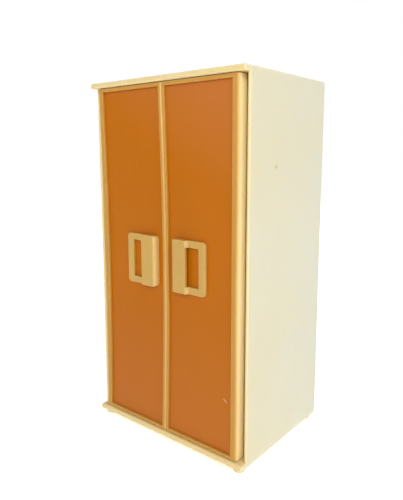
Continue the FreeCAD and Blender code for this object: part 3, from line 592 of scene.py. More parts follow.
        clouds.inputs["Scale"].default_value = 14.0
        clouds.inputs["Detail"].default_value = 4.0
        cloud_share.inputs["From Min"].default_value = 0.3
        cloud_share.inputs["From Max"].default_value = 0.75
        cloud_share.inputs["To Max"].default_value = 0.7
        streak_lie.inputs["Scale"].default_value = (220.0, 220.0, 2.5)
        streaks.inputs["Scale"].default_value = 1.0
        streaks.inputs["Detail"].default_value = 2.0
        streak_share.inputs["To Max"].default_value = 0.14
        share.operation = "ADD"
        share.use_clamp = True
        tint.data_type = "RGBA"
        tint.inputs["A"].default_value = opaque(self.colour)
        tint.inputs["B"].default_value = opaque(self.cloud)

        slant.operation = "DOT_PRODUCT"
        slant.inputs[1].default_value = (0.6, 0.0, 1.0)
        top_share.inputs["From Min"].default_value = 225 * MM
        top_share.inputs["From Max"].default_value = 292 * MM
        top_share.inputs["To Max"].default_value = 0.9
        foot_share.inputs["From Min"].default_value = 110 * MM
        foot_share.inputs["From Max"].default_value = 20 * MM
        foot_share.inputs["To Max"].default_value = 0.45
        sheen_share.operation = "ADD"
        sheen_share.use_clamp = True
        sheened.data_type = "RGBA"
        sheened.inputs["B"].default_value = opaque(self.chalky)

        nick_lie.vector_type = "TEXTURE"
        nick_lie.inputs["Location"].default_value = self.nick_at
        nick_lie.inputs["Rotation"].default_value = (0.0, self.nick_turn, 0.0)
        nick_lie.inputs["Scale"].default_value = (0.5 * MM, 4 * MM, 2.5 * MM)
        nick_shape.gradient_type = "SPHERICAL"
        nick_cut.inputs["From Min"].default_value = 0.05
        nick_cut.inputs["From Max"].default_value = 0.3
        nick_cut.inputs["To Max"].default_value = self.nick_strength
        nick_break.inputs["Scale"].default_value = 900.0
        nick_amount.operation = "MULTIPLY"
        nicked.data_type = "RGBA"
        nicked.inputs["B"].default_value = opaque(srgb(240, 214, 180))

        scratch_lie.inputs["Rotation"].default_value = (0.0, 0.5, 0.0)
        scratch_lie.inputs["Scale"].default_value = (900.0, 900.0, 40.0)
        scratches.inputs["Scale"].default_value = 1.0
        scratches.inputs["Detail"].default_value = 1.0
        scratch_cut.inputs["From Min"].default_value = 0.71
        scratch_cut.inputs["From Max"].default_value = 0.8
        scratch_cut.inputs["To Max"].default_value = 0.08
        scratched.data_type = "RGBA"
        scratched.inputs["B"].default_value = opaque(srgb(226, 160, 96))

        smears.inputs["Scale"].default_value = 18.0
        smears.inputs["Detail"].default_value = 6.0
        gloss_level.inputs["To Min"].default_value = self.roughness - 0.08
        gloss_level.inputs["To Max"].default_value = self.roughness + 0.1
        gloss.operation = "ADD"
        gloss.use_clamp = True

        surface.inputs["Specular IOR Level"].default_value = self.specular
        grain.inputs["Scale"].default_value = 1900.0
        waves.inputs["Scale"].default_value = 12.0
        wavy.inputs["Strength"].default_value = 0.4
        wavy.inputs["Distance"].default_value = 1.0 * MM
        skin.inputs["Strength"].default_value = 0.1
        skin.inputs["Distance"].default_value = 0.1 * MM

        links.new(place.outputs["Object"], clouds.inputs["Vector"])
        links.new(clouds.outputs["Fac"], cloud_share.inputs["Value"])
        links.new(place.outputs["Object"], streak_lie.inputs["Vector"])
        links.new(streak_lie.outputs["Vector"], streaks.inputs["Vector"])
        links.new(streaks.outputs["Fac"], streak_share.inputs["Value"])
        links.new(cloud_share.outputs["Result"], share.inputs[0])
        links.new(streak_share.outputs["Result"], share.inputs[1])
        links.new(share.outputs["Value"], tint.inputs["Factor"])

        links.new(place.outputs["Object"], slant.inputs[0])
        links.new(slant.outputs["Value"], top_share.inputs["Value"])
        links.new(place.outputs["Object"], axes.inputs["Vector"])
        links.new(axes.outputs["Z"], foot_share.inputs["Value"])
        links.new(top_share.outputs["Result"], sheen_share.inputs[0])
        links.new(foot_share.outputs["Result"], sheen_share.inputs[1])
        links.new(sheen_share.outputs["Value"], sheened.inputs["Factor"])
        links.new(tint.outputs["Result"], sheened.inputs["A"])

        links.new(place.outputs["Object"], nick_lie.inputs["Vector"])
        links.new(nick_lie.outputs["Vector"], nick_shape.inputs["Vector"])
        links.new(nick_shape.outputs["Fac"], nick_cut.inputs["Value"])
        links.new(place.outputs["Object"], nick_break.inputs["Vector"])
        links.new(nick_cut.outputs["Result"], nick_amount.inputs[0])
        links.new(nick_break.outputs["Fac"], nick_amount.inputs[1])
        links.new(nick_amount.outputs["Value"], nicked.inputs["Factor"])
        links.new(sheened.outputs["Result"], nicked.inputs["A"])

        links.new(place.outputs["Object"], scratch_lie.inputs["Vector"])
        links.new(scratch_lie.outputs["Vector"], scratches.inputs["Vector"])
        links.new(scratches.outputs["Fac"], scratch_cut.inputs["Value"])
        links.new(scratch_cut.outputs["Result"], scratched.inputs["Factor"])
        links.new(nicked.outputs["Result"], scratched.inputs["A"])

        links.new(place.outputs["Object"], smears.inputs["Vector"])
        links.new(smears.outputs["Fac"], gloss_level.inputs["Value"])
        links.new(gloss_level.outputs["Result"], gloss.inputs[0])
        links.new(scratch_cut.outputs["Result"], gloss.inputs[1])

        links.new(place.outputs["Object"], grain.inputs["Vector"])
        links.new(place.outputs["Object"], waves.inputs["Vector"])
        links.new(waves.outputs["Fac"], wavy.inputs["Height"])
        links.new(grain.outputs["Fac"], skin.inputs["Height"])
        links.new(wavy.outputs["Normal"], skin.inputs["Normal"])

        links.new(scratched.outputs["Result"], surface.inputs["Base Color"])
        links.new(gloss.outputs["Value"], surface.inputs["Roughness"])
        links.new(skin.outputs["Normal"], surface.inputs["Normal"])
        links.new(surface.outputs["BSDF"], output.inputs["Surface"])
        return material


# ---- shared mesh work -----------------------------------------------------------------


def put_in_scene(name: str, data: bpy.types.ID) -> bpy.types.Object:
    """Make an object of some data and put it in the scene.

    Args:
        name: The object's name.
        data: Its mesh, curve, lamp or camera.

    Returns:
        The object.
    """
    made = bpy.data.objects.new(name, data)
    bpy.context.scene.collection.objects.link(made)
    return made


def shade_like_moulding(mesh: bpy.types.Mesh, degrees: float) -> None:
    """Shade small rounds smooth and keep large faces flat, by averaging normals by area.

    Args:
        mesh: The mesh, which gets its own corner normals.
        degrees: Faces that meet at more than this angle keep a crisp edge.
    """
    least = math.cos(math.radians(degrees))
    faces_at = [[] for _ in mesh.vertices]
    for face in mesh.polygons:
        face.use_smooth = True
        for index in face.vertices:
            faces_at[index].append((face.normal.copy(), face.area))
    normals = []
    for face in mesh.polygons:
        for index in face.vertices:
            total = Vector()
            for normal, area in faces_at[index]:
                if normal.dot(face.normal) >= least:
                    total += normal * area
            normals.append((total if total.length > 0 else face.normal).normalized())
    mesh.normals_split_custom_set(normals)


def mark_ageing(mesh: bpy.types.Mesh) -> None:
    """Store on each vertex how rounded its skin is and how much it takes the yellowed, darker
    tone.

    Rounded skin is drawn paler: partly abrasion, partly a painted highlight. Faces turned to the
    front, to the top or into the piece's own hollow take the darker tone most: partly yellowed
    with age, partly painted shade, darkest in gaps and hollows.

    Args:
        mesh: The mesh, which gets the attributes edge_wear and sun_face.
    """
    count = len(mesh.vertices)
    low, high = ([pick(v.co[axis] for v in mesh.vertices) for axis in range(3)]
                 for pick in (min, max))
    middle = (Vector(low) + Vector(high)) / 2
    skin, abrasion_and_highlight_sums, lit = [1e-12] * count, [0.0] * count, [0.0] * count
    for face in mesh.polygons:
        squareness = max(abs(part) for part in face.normal)
        rounded = squareness < FLAT_SQUARENESS
        roundness = min((1 - squareness) / ROUNDING_SPAN, 1.0) if rounded else 0.0
        # Hollow faces take the full darker tone as painted shade in gaps and inside; front and
        # level faces take it by facing, partly painted shade.
        inward = face.normal.dot(face.center - middle) < 0
        yellowed_and_shaded = 1.0 if inward else max(-face.normal.y, LEVEL_YELLOWED_AND_SHADED * abs(face.normal.z), 0.0)
        for index in face.vertices:
            skin[index] += face.area
            abrasion_and_highlight_sums[index] += face.area * roundness
            lit[index] += face.area * yellowed_and_shaded
    for name, sums in (("edge_wear", abrasion_and_highlight_sums), ("sun_face", lit)):
        shares = [total / area for total, area in zip(sums, skin)]
        mesh.attributes.new(name, "FLOAT", "POINT").data.foreach_set("value", shares)


def plain_mesh(piece: bpy.types.Object, name: str) -> None:
    """Turn an object's modifiers into its mesh and take them off.

    Args:
        piece: The object.
        name: The new mesh's name.
    """
    bpy.context.view_layer.update()
    evaluated = piece.evaluated_get(bpy.context.evaluated_depsgraph_get())
    finished = bpy.data.meshes.new_from_object(evaluated)
    piece.modifiers.clear()
    piece.data = finished
    finished.name = name


@dataclass(frozen=True)
class Bow:
    """How far age has drawn a door's mid-height inwards, at its hinge and at its free side."""

    hinge: float
    free: float
    low: tuple[float, float, float]
    high: tuple[float, float, float]
    bands: int = 26
    cut_within: float = 0.01 * MM

    def cut(self, work: bmesh.types.BMesh) -> None:
        """Cut a mesh into level bands, so that it can bend.

        Args:
            work: The mesh, changed in place.
        """
        for band in range(1, self.bands):
            level = self.low[2] + (self.high[2] - self.low[2]) * band / self.bands
            geometry = work.verts[:] + work.edges[:] + work.faces[:]
            bmesh.ops.bisect_plane(work, geom=geometry, dist=self.cut_within,
                                   plane_co=(0.0, 0.0, level), plane_no=(0.0, 0.0, 1.0))

    def bend(self, mesh: bpy.types.Mesh) -> None:
        """Draw the middle in, leaving the top and bottom edges where they are.

        Args:
            mesh: The mesh, changed in place.
        """
        edges = sorted((abs(self.low[0]), abs(self.high[0])))
        for vertex in mesh.vertices:
            up = (vertex.co.z - self.low[2]) / (self.high[2] - self.low[2])
            across = (abs(vertex.co.x) - edges[0]) / (edges[1] - edges[0])
            depth = self.free + (self.hinge - self.free) * min(max(across, 0.0), 1.0)
            vertex.co.y += depth * math.sin(math.pi * min(max(up, 0.0), 1.0))
        mesh.update()


@dataclass
class Moulding:
    """A CAD node copied, merged and given small rounded edges, as a tool leaves them."""

    node: str
    body: str
    slot: Slot
    edge: float = 0.25 * MM
    segments: int = 3
    sharp_from: float = 40.0
    bow: Bow | None = None
    merge_within: float = 0.002 * MM
    flat_within: float = 0.3
    crisp_from: float = 40.0

    def build(self, frame: dict) -> bpy.types.Object:
        """Make the finished piece that stands for the node.


        Returns:
            The new piece, on its body and in place of the node.
        """
        name = f"{self.node}_finished"
        mesh = frame["nodes"][self.node].data.copy()
        self.merge_and_weigh(mesh)
        piece = put_in_scene(name, mesh)
        bevel = piece.modifiers.new("small rounds", "BEVEL")
        bevel.width = self.edge
        bevel.segments = self.segments
        bevel.limit_method = "WEIGHT"
        bevel.use_clamp_overlap = True
        plain_mesh(piece, name)
        if self.bow is not None:
            self.bow.bend(piece.data)
        mark_ageing(piece.data)
        shade_like_moulding(piece.data, self.crisp_from)
        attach(piece, self.body)
        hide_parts(self.node)
        return piece

    def merge_and_weigh(self, mesh: bpy.types.Mesh) -> None:
        """Join the loose triangles, clear flat faces and weigh the sharp edges for rounding.

        Args:
            mesh: The copied mesh, changed in place.
        """
        work = bmesh.new()
        work.from_mesh(mesh)
        bmesh.ops.remove_doubles(work, verts=work.verts, dist=self.merge_within)
        bmesh.ops.dissolve_limit(work, angle_limit=math.radians(self.flat_within),
                                 verts=work.verts, edges=work.edges,
                                 use_dissolve_boundaries=False)
        if self.bow is not None:
            self.bow.cut(work)
        weights = work.edges.layers.float.new("bevel_weight_edge")
        limit = math.radians(self.sharp_from)
        for edge in work.edges:
            if edge.is_manifold and edge.calc_face_angle() > limit:
                edge[weights] = self.edge_weight(edge)
        work.to_mesh(mesh)
        work.free()

    def edge_weight(self, edge: bmesh.types.BMEdge) -> float:
        """Share of the full rounding that a sharp edge gets; all of it on most pieces."""
        return 1.0


@dataclass
class FingerPull(Moulding):
    """A handle: generous rounds in front, hardly any where it sits on its panel."""

    edge: float = 1.25 * MM
    segments: int = 5
    seat: float = 0.0
    rise: float = 1.3
    seat_share: float = 0.08
    clear_of_seat: float = 0.3 * MM

    def merge_and_weigh(self, mesh: bpy.types.Mesh) -> None:
        """Stand the pull further off its seat, into the room that the bow leaves.

        Args:
            mesh: The copied mesh, changed in place.
        """
        for vertex in mesh.vertices:
            if vertex.co.y < self.seat:
                vertex.co.y = self.seat + (vertex.co.y - self.seat) * self.rise
        super().merge_and_weigh(mesh)

    def edge_weight(self, edge: bmesh.types.BMEdge) -> float:
        """Full rounding for edges clear of the seat, a touch for the rest."""
        in_front = all(vertex.co.y < self.seat - self.clear_of_seat for vertex in edge.verts)
        return 1.0 if in_front else self.seat_share


def wear_finish(piece: bpy.types.Object, material: bpy.types.Material) -> None:
    """Give a piece one material, whatever it had.

    Args:
        piece: The piece.
        material: Its finish.
    """
    piece.data.materials.clear()
    piece.data.materials.append(material)


# ---- made by rule: pin marks and hangers ----------------------------------------------


def add_input(tree: bpy.types.NodeTree, name: str, kind: str) -> str:
    """Add a named input to a Geometry Nodes tree.

    Args:
        tree: The tree.
        name: What the input sets.
        kind: The socket's type.

    Returns:
        The identifier that a modifier sets it by.
    """
    socket = tree.interface.new_socket(name=name, in_out="INPUT", socket_type=kind)
    return socket.identifier


@dataclass
class PinMarks:
    """Rows of fine rings that the ejector pins leave on the plain side of a moulding."""

    columns: int
    rows: int
    span: tuple[float, float]
    centre: tuple[float, float, float]
    turn: tuple[float, float, float]
    ring_radius: float = 2.1 * MM
    line_radius: float = 0.11 * MM
    bow: Bow | None = None
    crisp_from: float = 80.0

    def tree(self) -> tuple[bpy.types.NodeTree, dict[str, str]]:
        """Build the tree that lays the rings out on a grid.

        Returns:
            The tree, and its inputs' identifiers by name.
        """
        tree = bpy.data.node_groups.new("pin_marks", "GeometryNodeTree")
        kinds = {"Columns": "NodeSocketInt", "Rows": "NodeSocketInt",
                 "Width": "NodeSocketFloat", "Height": "NodeSocketFloat",
                 "Ring radius": "NodeSocketFloat", "Line radius": "NodeSocketFloat",
                 "Centre": "NodeSocketVector", "Turn": "NodeSocketRotation",
                 "Finish": "NodeSocketMaterial"}
        keys = {name: add_input(tree, name, kind) for name, kind in kinds.items()}
        tree.interface.new_socket(name="Marks", in_out="OUTPUT", socket_type="NodeSocketGeometry")
        nodes, links = tree.nodes, tree.links

        given = nodes.new("NodeGroupInput")
        given.label = "sizes of the marks"
        grid = nodes.new("GeometryNodeMeshGrid")
        grid.label = "where the pins pushed"
        ring = nodes.new("GeometryNodeCurvePrimitiveCircle")
        ring.label = "pin outline"
        line = nodes.new("GeometryNodeCurvePrimitiveCircle")
        line.label = "witness line section"
        sweep = nodes.new("GeometryNodeCurveToMesh")
        sweep.label = "raised line"
        copies = nodes.new("GeometryNodeInstanceOnPoints")
        copies.label = "one ring a pin"
        lay = nodes.new("GeometryNodeTransform")
        lay.label = "lay on the face"
        real = nodes.new("GeometryNodeRealizeInstances")
        real.label = "plain geometry"
        finish = nodes.new("GeometryNodeSetMaterial")
        finish.label = "same finish as the face"
        result = nodes.new("NodeGroupOutput")
        result.label = "marks"
        outline = nodes.new("NodeFrame")
        outline.label = "one raised ring"
        set_out([ring, line, sweep], outline, 200, -250)
        layout = nodes.new("NodeFrame")
        layout.label = "a ring at every pin, laid on the face"
        set_out([grid, copies, lay, real, finish], layout, 200, 150)
        given.location = (-50, 0)
        result.location = (1300, 0)

        ring.inputs["Resolution"].default_value = 28
        line.inputs["Resolution"].default_value = 6

        links.new(given.outputs["Columns"], grid.inputs["Vertices X"])
        links.new(given.outputs["Rows"], grid.inputs["Vertices Y"])
        links.new(given.outputs["Width"], grid.inputs["Size X"])
        links.new(given.outputs["Height"], grid.inputs["Size Y"])
        links.new(given.outputs["Ring radius"], ring.inputs["Radius"])
        links.new(given.outputs["Line radius"], line.inputs["Radius"])
        links.new(ring.outputs["Curve"], sweep.inputs["Curve"])
        links.new(line.outputs["Curve"], sweep.inputs["Profile Curve"])
        links.new(grid.outputs["Mesh"], copies.inputs["Points"])
        links.new(sweep.outputs["Mesh"], copies.inputs["Instance"])
        links.new(copies.outputs["Instances"], lay.inputs["Geometry"])
        links.new(given.outputs["Centre"], lay.inputs["Translation"])
        links.new(given.outputs["Turn"], lay.inputs["Rotation"])
        links.new(lay.outputs["Geometry"], real.inputs["Geometry"])
        links.new(real.outputs["Geometry"], finish.inputs["Geometry"])
        links.new(given.outputs["Finish"], finish.inputs["Material"])
        links.new(finish.outputs["Geometry"], result.inputs["Marks"])
        return tree, keys

    def build(self, name: str, body: str, slot: Slot,
              material: bpy.types.Material) -> bpy.types.Object:
        """Make the marks as one plain mesh.

        Args:
            name: The piece's name.
            body: The body that it rides on.
            slot: The slot of the moulding that is marked; not used.
            material: That moulding's finish.

        Returns:
            The piece.
        """
        piece = put_in_scene(name, bpy.data.meshes.new(name))
        modifier = piece.modifiers.new("pin marks", "NODES")
        tree, keys = self.tree()
        modifier.node_group = tree
        modifier[keys["Columns"]] = self.columns
        modifier[keys["Rows"]] = self.rows
        modifier[keys["Width"]] = self.span[0]
        modifier[keys["Height"]] = self.span[1]
        modifier[keys["Ring radius"]] = self.ring_radius
        modifier[keys["Line radius"]] = self.line_radius
        modifier[keys["Centre"]] = self.centre
        modifier[keys["Turn"]] = self.turn
        modifier[keys["Finish"]] = material
        plain_mesh(piece, name)
        if self.bow is not None:
            self.bow.bend(piece.data)
        mark_ageing(piece.data)
        shade_like_moulding(piece.data, self.crisp_from)
        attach(piece, body)
        return piece


@dataclass
class Hanger:
    """A doll's hanger: a round hook swept round the rail and a softly squared frame."""

    node: str
    arm: float = 2.6 * MM
    crown: float = 3.2 * MM
    bend: float = 1.4 * MM
    hook_wire: float = 0.85 * MM
    hook_middle: float = 2.8 * MM
    arm_fall: float = 10.9 * MM
    hook_steps: int = 14
    hook_start: float = -60.0
    hook_turn: float = 240.0
    neck: float = 1.0 * MM
    tip_rise: float = 2.2 * MM
    arm_ease: float = 0.92
    crisp_from: float = 50.0

    def path(self) -> bpy.types.Object:
        """Draw the hook, an open line, and the frame, a closed one, in the hanger's plane.

        Returns:
            A curve object.
        """
        low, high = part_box(self.node)
        rail_low, rail_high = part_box("hanging_rail")
        x = (low[0] + high[0]) / 2
        y = (rail_low[1] + rail_high[1]) / 2
        z = (rail_low[2] + rail_high[2]) / 2
        reach = (high[1] - low[1]) / 2 - self.arm / 2
        top = z - self.arm_fall
        bottom = low[2] + self.arm / 2
        tip = bottom + self.tip_rise
        ring = self.hook_middle
        hook = [(y, top), (y, z - math.sqrt(3) * ring - self.neck)]
        for step in range(self.hook_steps + 1):
            turn = math.radians(self.hook_start + self.hook_turn * step / self.hook_steps)
            hook.append((y + ring * math.cos(turn), z + ring * math.sin(turn)))
        loop = [(y - self.crown, top), (y - reach, tip), (y - reach, bottom),
                (y + reach, bottom), (y + reach, tip), (y + self.crown, top)]
        curve = bpy.data.curves.new(self.node, "CURVE")
        curve.dimensions = "3D"
        for points, closed in ((hook, False), (loop, True)):
            spline = curve.splines.new("POLY")
            spline.points.add(len(points) - 1)
            spline.use_cyclic_u = closed
            for point, (along, up) in zip(spline.points, points):
                point.co = (x, along, up, 1.0)
        return put_in_scene(f"{self.node}_finished", curve)

    def tree(self) -> tuple[bpy.types.NodeTree, dict[str, str]]:
        """Build the tree that sweeps the hook round and the frame squared.

        Returns:
            The tree, and its inputs' identifiers by name.
        """
        tree = bpy.data.node_groups.new("hanger_sweep", "GeometryNodeTree")
        tree.interface.new_socket(name="Path", in_out="INPUT", socket_type="NodeSocketGeometry")
        kinds = {"Hook wire": "NodeSocketFloat", "Arm": "NodeSocketFloat",
                 "Bend": "NodeSocketFloat", "Finish": "NodeSocketMaterial"}
        keys = {name: add_input(tree, name, kind) for name, kind in kinds.items()}
        tree.interface.new_socket(name="Hanger", in_out="OUTPUT",
                                  socket_type="NodeSocketGeometry")
        nodes, links = tree.nodes, tree.links

        given = nodes.new("NodeGroupInput")
        given.label = "path and sizes"
        closed = nodes.new("GeometryNodeInputSplineCyclic")
        closed.label = "the frame is the closed line"
        split = nodes.new("GeometryNodeSeparateGeometry")
        split.label = "frame from hook"
        soften = nodes.new("GeometryNodeFilletCurve")
        soften.label = "bent corners"
        squared = nodes.new("GeometryNodeCurvePrimitiveQuadrilateral")
        squared.label = "frame section"
        eased = nodes.new("GeometryNodeFilletCurve")
        eased.label = "eased section"
        section_round = nodes.new("ShaderNodeMath")
        section_round.label = "section rounding"
        sweep_frame = nodes.new("GeometryNodeCurveToMesh")
        sweep_frame.label = "frame"
        wire = nodes.new("GeometryNodeCurvePrimitiveCircle")
        wire.label = "hook section"
        sweep_hook = nodes.new("GeometryNodeCurveToMesh")
        sweep_hook.label = "hook"
        join = nodes.new("GeometryNodeJoinGeometry")
        join.label = "hook and frame"
        real = nodes.new("GeometryNodeRealizeInstances")
        real.label = "plain geometry"
        finish = nodes.new("GeometryNodeSetMaterial")
        finish.label = "hanger plastic"
        result = nodes.new("NodeGroupOutput")
        result.label = "hanger"
        parts = nodes.new("NodeFrame")
        parts.label = "frame and hook told apart"
        set_out([closed, split], parts, 200, 350)
        framing = nodes.new("NodeFrame")
        framing.label = "squared frame with bent corners"
        set_out([section_round, squared, eased, soften, sweep_frame], framing, 200, 50)
        hooking = nodes.new("NodeFrame")
        hooking.label = "round hook"
        set_out([wire, sweep_hook], hooking, 200, -250)
        ending = nodes.new("NodeFrame")
        ending.label = "one plain piece"
        set_out([join, real, finish], ending, 1300, 50)
        given.location = (-50, 0)
        result.location = (2000, 0)

        split.domain = "CURVE"
        soften.mode = "POLY"
        soften.inputs["Count"].default_value = 5
        soften.inputs["Limit Radius"].default_value = True
        eased.mode = "POLY"
        eased.inputs["Count"].default_value = 3
        eased.inputs["Limit Radius"].default_value = True
        section_round.operation = "MULTIPLY"
        section_round.inputs[1].default_value = 0.3
        wire.inputs["Resolution"].default_value = 14
        sweep_frame.inputs["Fill Caps"].default_value = True
        sweep_hook.inputs["Fill Caps"].default_value = True

        links.new(given.outputs["Path"], split.inputs["Geometry"])
        links.new(closed.outputs["Cyclic"], split.inputs["Selection"])
        links.new(split.outputs["Selection"], soften.inputs["Curve"])
        links.new(given.outputs["Bend"], soften.inputs["Radius"])
        links.new(given.outputs["Arm"], squared.inputs["Width"])
        links.new(given.outputs["Arm"], squared.inputs["Height"])
        links.new(given.outputs["Arm"], section_round.inputs[0])
        links.new(squared.outputs["Curve"], eased.inputs["Curve"])
        links.new(section_round.outputs["Value"], eased.inputs["Radius"])
        links.new(soften.outputs["Curve"], sweep_frame.inputs["Curve"])
        links.new(eased.outputs["Curve"], sweep_frame.inputs["Profile Curve"])
        links.new(given.outputs["Hook wire"], wire.inputs["Radius"])
        links.new(split.outputs["Inverted"], sweep_hook.inputs["Curve"])
        links.new(wire.outputs["Curve"], sweep_hook.inputs["Profile Curve"])
        links.new(sweep_frame.outputs["Mesh"], join.inputs["Geometry"])
        links.new(sweep_hook.outputs["Mesh"], join.inputs["Geometry"])
        links.new(join.outputs["Geometry"], real.inputs["Geometry"])
        links.new(real.outputs["Geometry"], finish.inputs["Geometry"])
        links.new(given.outputs["Finish"], finish.inputs["Material"])
        links.new(finish.outputs["Geometry"], result.inputs["Hanger"])
        return tree, keys

    def build(self, material: bpy.types.Material) -> bpy.types.Object:
        """Make the hanger as one plain mesh that stands for its node.

        Args:
            material: Its finish.

        Returns:
            The piece.
        """
        drawn = self.path()
        modifier = drawn.modifiers.new("hanger sweep", "NODES")
        tree, keys = self.tree()
        modifier.node_group = tree
        modifier[keys["Hook wire"]] = self.hook_wire
        modifier[keys["Arm"]] = self.arm * self.arm_ease
        modifier[keys["Bend"]] = self.bend
        modifier[keys["Finish"]] = material
        bpy.context.view_layer.update()
        evaluated = drawn.evaluated_get(bpy.context.evaluated_depsgraph_get())
        mesh = bpy.data.meshes.new_from_object(evaluated)
        bpy.data.objects.remove(drawn)
        mesh.name = f"{self.node}_finished"
        piece = put_in_scene(f"{self.node}_finished", mesh)
        mark_ageing(mesh)
        shade_like_moulding(mesh, self.crisp_from)
        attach(piece, self.node)
        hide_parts(self.node)
        return piece


# ---- studio ---------------------------------------------------------------------------


@dataclass(frozen=True)
class Lamp:
    """A large soft lamp that looks at the middle of the cabinet."""

    name: str
    at: tuple[float, float, float]
    size: float
    power: float
    colour: Colour = (1.0, 1.0, 1.0)
    aim_at: tuple[float, float, float] = (0.0, 0.0, 0.14)

    def hang(self) -> None:
        """Make the lamp."""
        data = bpy.data.lights.new(self.name, "AREA")
        data.size = self.size
        data.energy = self.power
        data.color = self.colour
        lamp = put_in_scene(self.name, data)
        lamp.location = self.at
        aim = Vector(self.aim_at) - Vector(self.at)
        lamp.rotation_euler = aim.to_track_quat("-Z", "Y").to_euler()


@dataclass(frozen=True)
class Studio:
    """Pale floor, soft lights and the camera."""

    eye: tuple[float, float, float] = (0.25944, -0.32482, 0.22403)
    yaw: float = 39.22
    pitch: float = 8.58
    roll: float = 0.13
    lens: float = 36.60
    shift_up: float = -0.0372
    floor_half: float = 2.5
    floor_glow: float = 0.42
    dim_side: float = 0.10
    bright_side: float = 0.6
    lamps: tuple[Lamp, ...] = (
        Lamp("key", (0.62, -0.88, 0.74), 0.4, 8.2),
        Lamp("left_card", (-0.95, -1.25, 0.70), 0.9, 2.8),
        Lamp("side_fill", (1.2, -0.25, 1.3), 0.9, 4.4),
        Lamp("overhead", (0.2, -0.5, 1.5), 0.8, 1.8),
    )

    def set_camera(self) -> None:
        """Put the camera in front, to the right of the doors and below the top."""
        data = bpy.data.cameras.new("camera")
        data.lens = self.lens
        data.sensor_width = 36.0
        data.shift_y = self.shift_up
        data.clip_start = 0.01
        data.clip_end = 20.0
        camera = put_in_scene("camera", data)
        camera.location = self.eye
        camera.rotation_euler = (
            math.radians(90 - self.pitch), math.radians(self.roll), math.radians(self.yaw))
        bpy.context.scene.camera = camera

    def lay_floor(self) -> None:
        """Lay the pale floor under the feet."""
        mesh = bpy.data.meshes.new("floor")
        half = self.floor_half
        mesh.from_pydata([(-half, -half, 0), (half, -half, 0), (half, half, 0),
                          (-half, half, 0)], [], [(0, 1, 2, 3)])
        floor = put_in_scene("floor", mesh)
        material = bpy.data.materials.new("pale_floor")
        material.use_nodes = True
        nodes, links = material.node_tree.nodes, material.node_tree.links
        place = nodes.new("ShaderNodeTexCoord")
        place.label = "place on the floor"
        beyond = nodes.new("ShaderNodeVectorMath")
        beyond.label = "how far behind the object"
        glow = nodes.new("ShaderNodeMapRange")
        glow.label = "pale all the way out"
        evening = nodes.new("NodeFrame")
        evening.label = "evens the floor out to white"
        set_out([place, beyond, glow], evening, -800, 0)
        surface = nodes["Principled BSDF"]
        beyond.operation = "DOT_PRODUCT"
        beyond.inputs[1].default_value = (-0.63, 0.77, 0.0)
        glow.inputs["From Min"].default_value = 0.1
        glow.inputs["From Max"].default_value = 0.6
        glow.inputs["To Min"].default_value = self.floor_glow
        surface.inputs["Base Color"].default_value = opaque((0.93, 0.93, 0.93))
        surface.inputs["Roughness"].default_value = 0.9
        surface.inputs["Specular IOR Level"].default_value = 0.2
        surface.inputs["Emission Color"].default_value = opaque((1.0, 1.0, 1.0))
        links.new(place.outputs["Object"], beyond.inputs[0])
        links.new(beyond.outputs["Value"], glow.inputs["Value"])
        links.new(glow.outputs["Result"], surface.inputs["Emission Strength"])
        floor.data.materials.append(material)

    def light(self) -> None:
        """Set a pale surround, brighter behind the cabinet, and the soft lamps."""
        world = bpy.data.worlds.new("pale_surround")
        world.use_nodes = True
        nodes, links = world.node_tree.nodes, world.node_tree.links
        nodes.clear()
        way = nodes.new("ShaderNodeTexCoord")
        way.label = "direction"
        along = nodes.new("ShaderNodeVectorMath")
        along.label = "how far towards the backdrop"
        strength = nodes.new("ShaderNodeMapRange")
        strength.label = "dim room to bright backdrop"
        lit = nodes.new("ShaderNodeBackground")
        lit.label = "light on the object"
        seen = nodes.new("ShaderNodeBackground")
        seen.label = "plain white behind"
        rays = nodes.new("ShaderNodeLightPath")
        rays.label = "seen directly or not"
        choose = nodes.new("ShaderNodeMixShader")
        choose.label = "backdrop"
        output = nodes.new("ShaderNodeOutputWorld")
        output.label = "surround"
        falloff = nodes.new("NodeFrame")
        falloff.label = "brighter behind the object"
        set_out([way, along, strength, lit], falloff, 0, 0)
        backdrop = nodes.new("NodeFrame")
        backdrop.label = "plain white to the eye"
        set_out([rays, seen, choose], backdrop, 200, -300)
        output.location = (900, 0)
        along.operation = "DOT_PRODUCT"
        along.inputs[1].default_value = (0.70, 0.71, 0.0)
        strength.inputs["From Min"].default_value = -0.6
        strength.inputs["From Max"].default_value = 0.6
        strength.inputs["To Min"].default_value = self.dim_side
        strength.inputs["To Max"].default_value = self.bright_side
        lit.inputs["Color"].default_value = (1.0, 1.0, 1.0, 1.0)
        seen.inputs["Color"].default_value = (1.0, 1.0, 1.0, 1.0)
        links.new(way.outputs["Generated"], along.inputs[0])
        links.new(along.outputs["Value"], strength.inputs["Value"])
        links.new(strength.outputs["Result"], lit.inputs["Strength"])
        links.new(rays.outputs["Is Camera Ray"], choose.inputs["Fac"])
        links.new(lit.outputs["Background"], choose.inputs[1])
        links.new(seen.outputs["Background"], choose.inputs[2])
        links.new(choose.outputs["Shader"], output.inputs["Surface"])
        bpy.context.scene.world = world
        for lamp in self.lamps:
            lamp.hang()
        bpy.context.scene.view_settings.view_transform = "Standard"


# ---- finishes in use ------------------------------------------------------------------

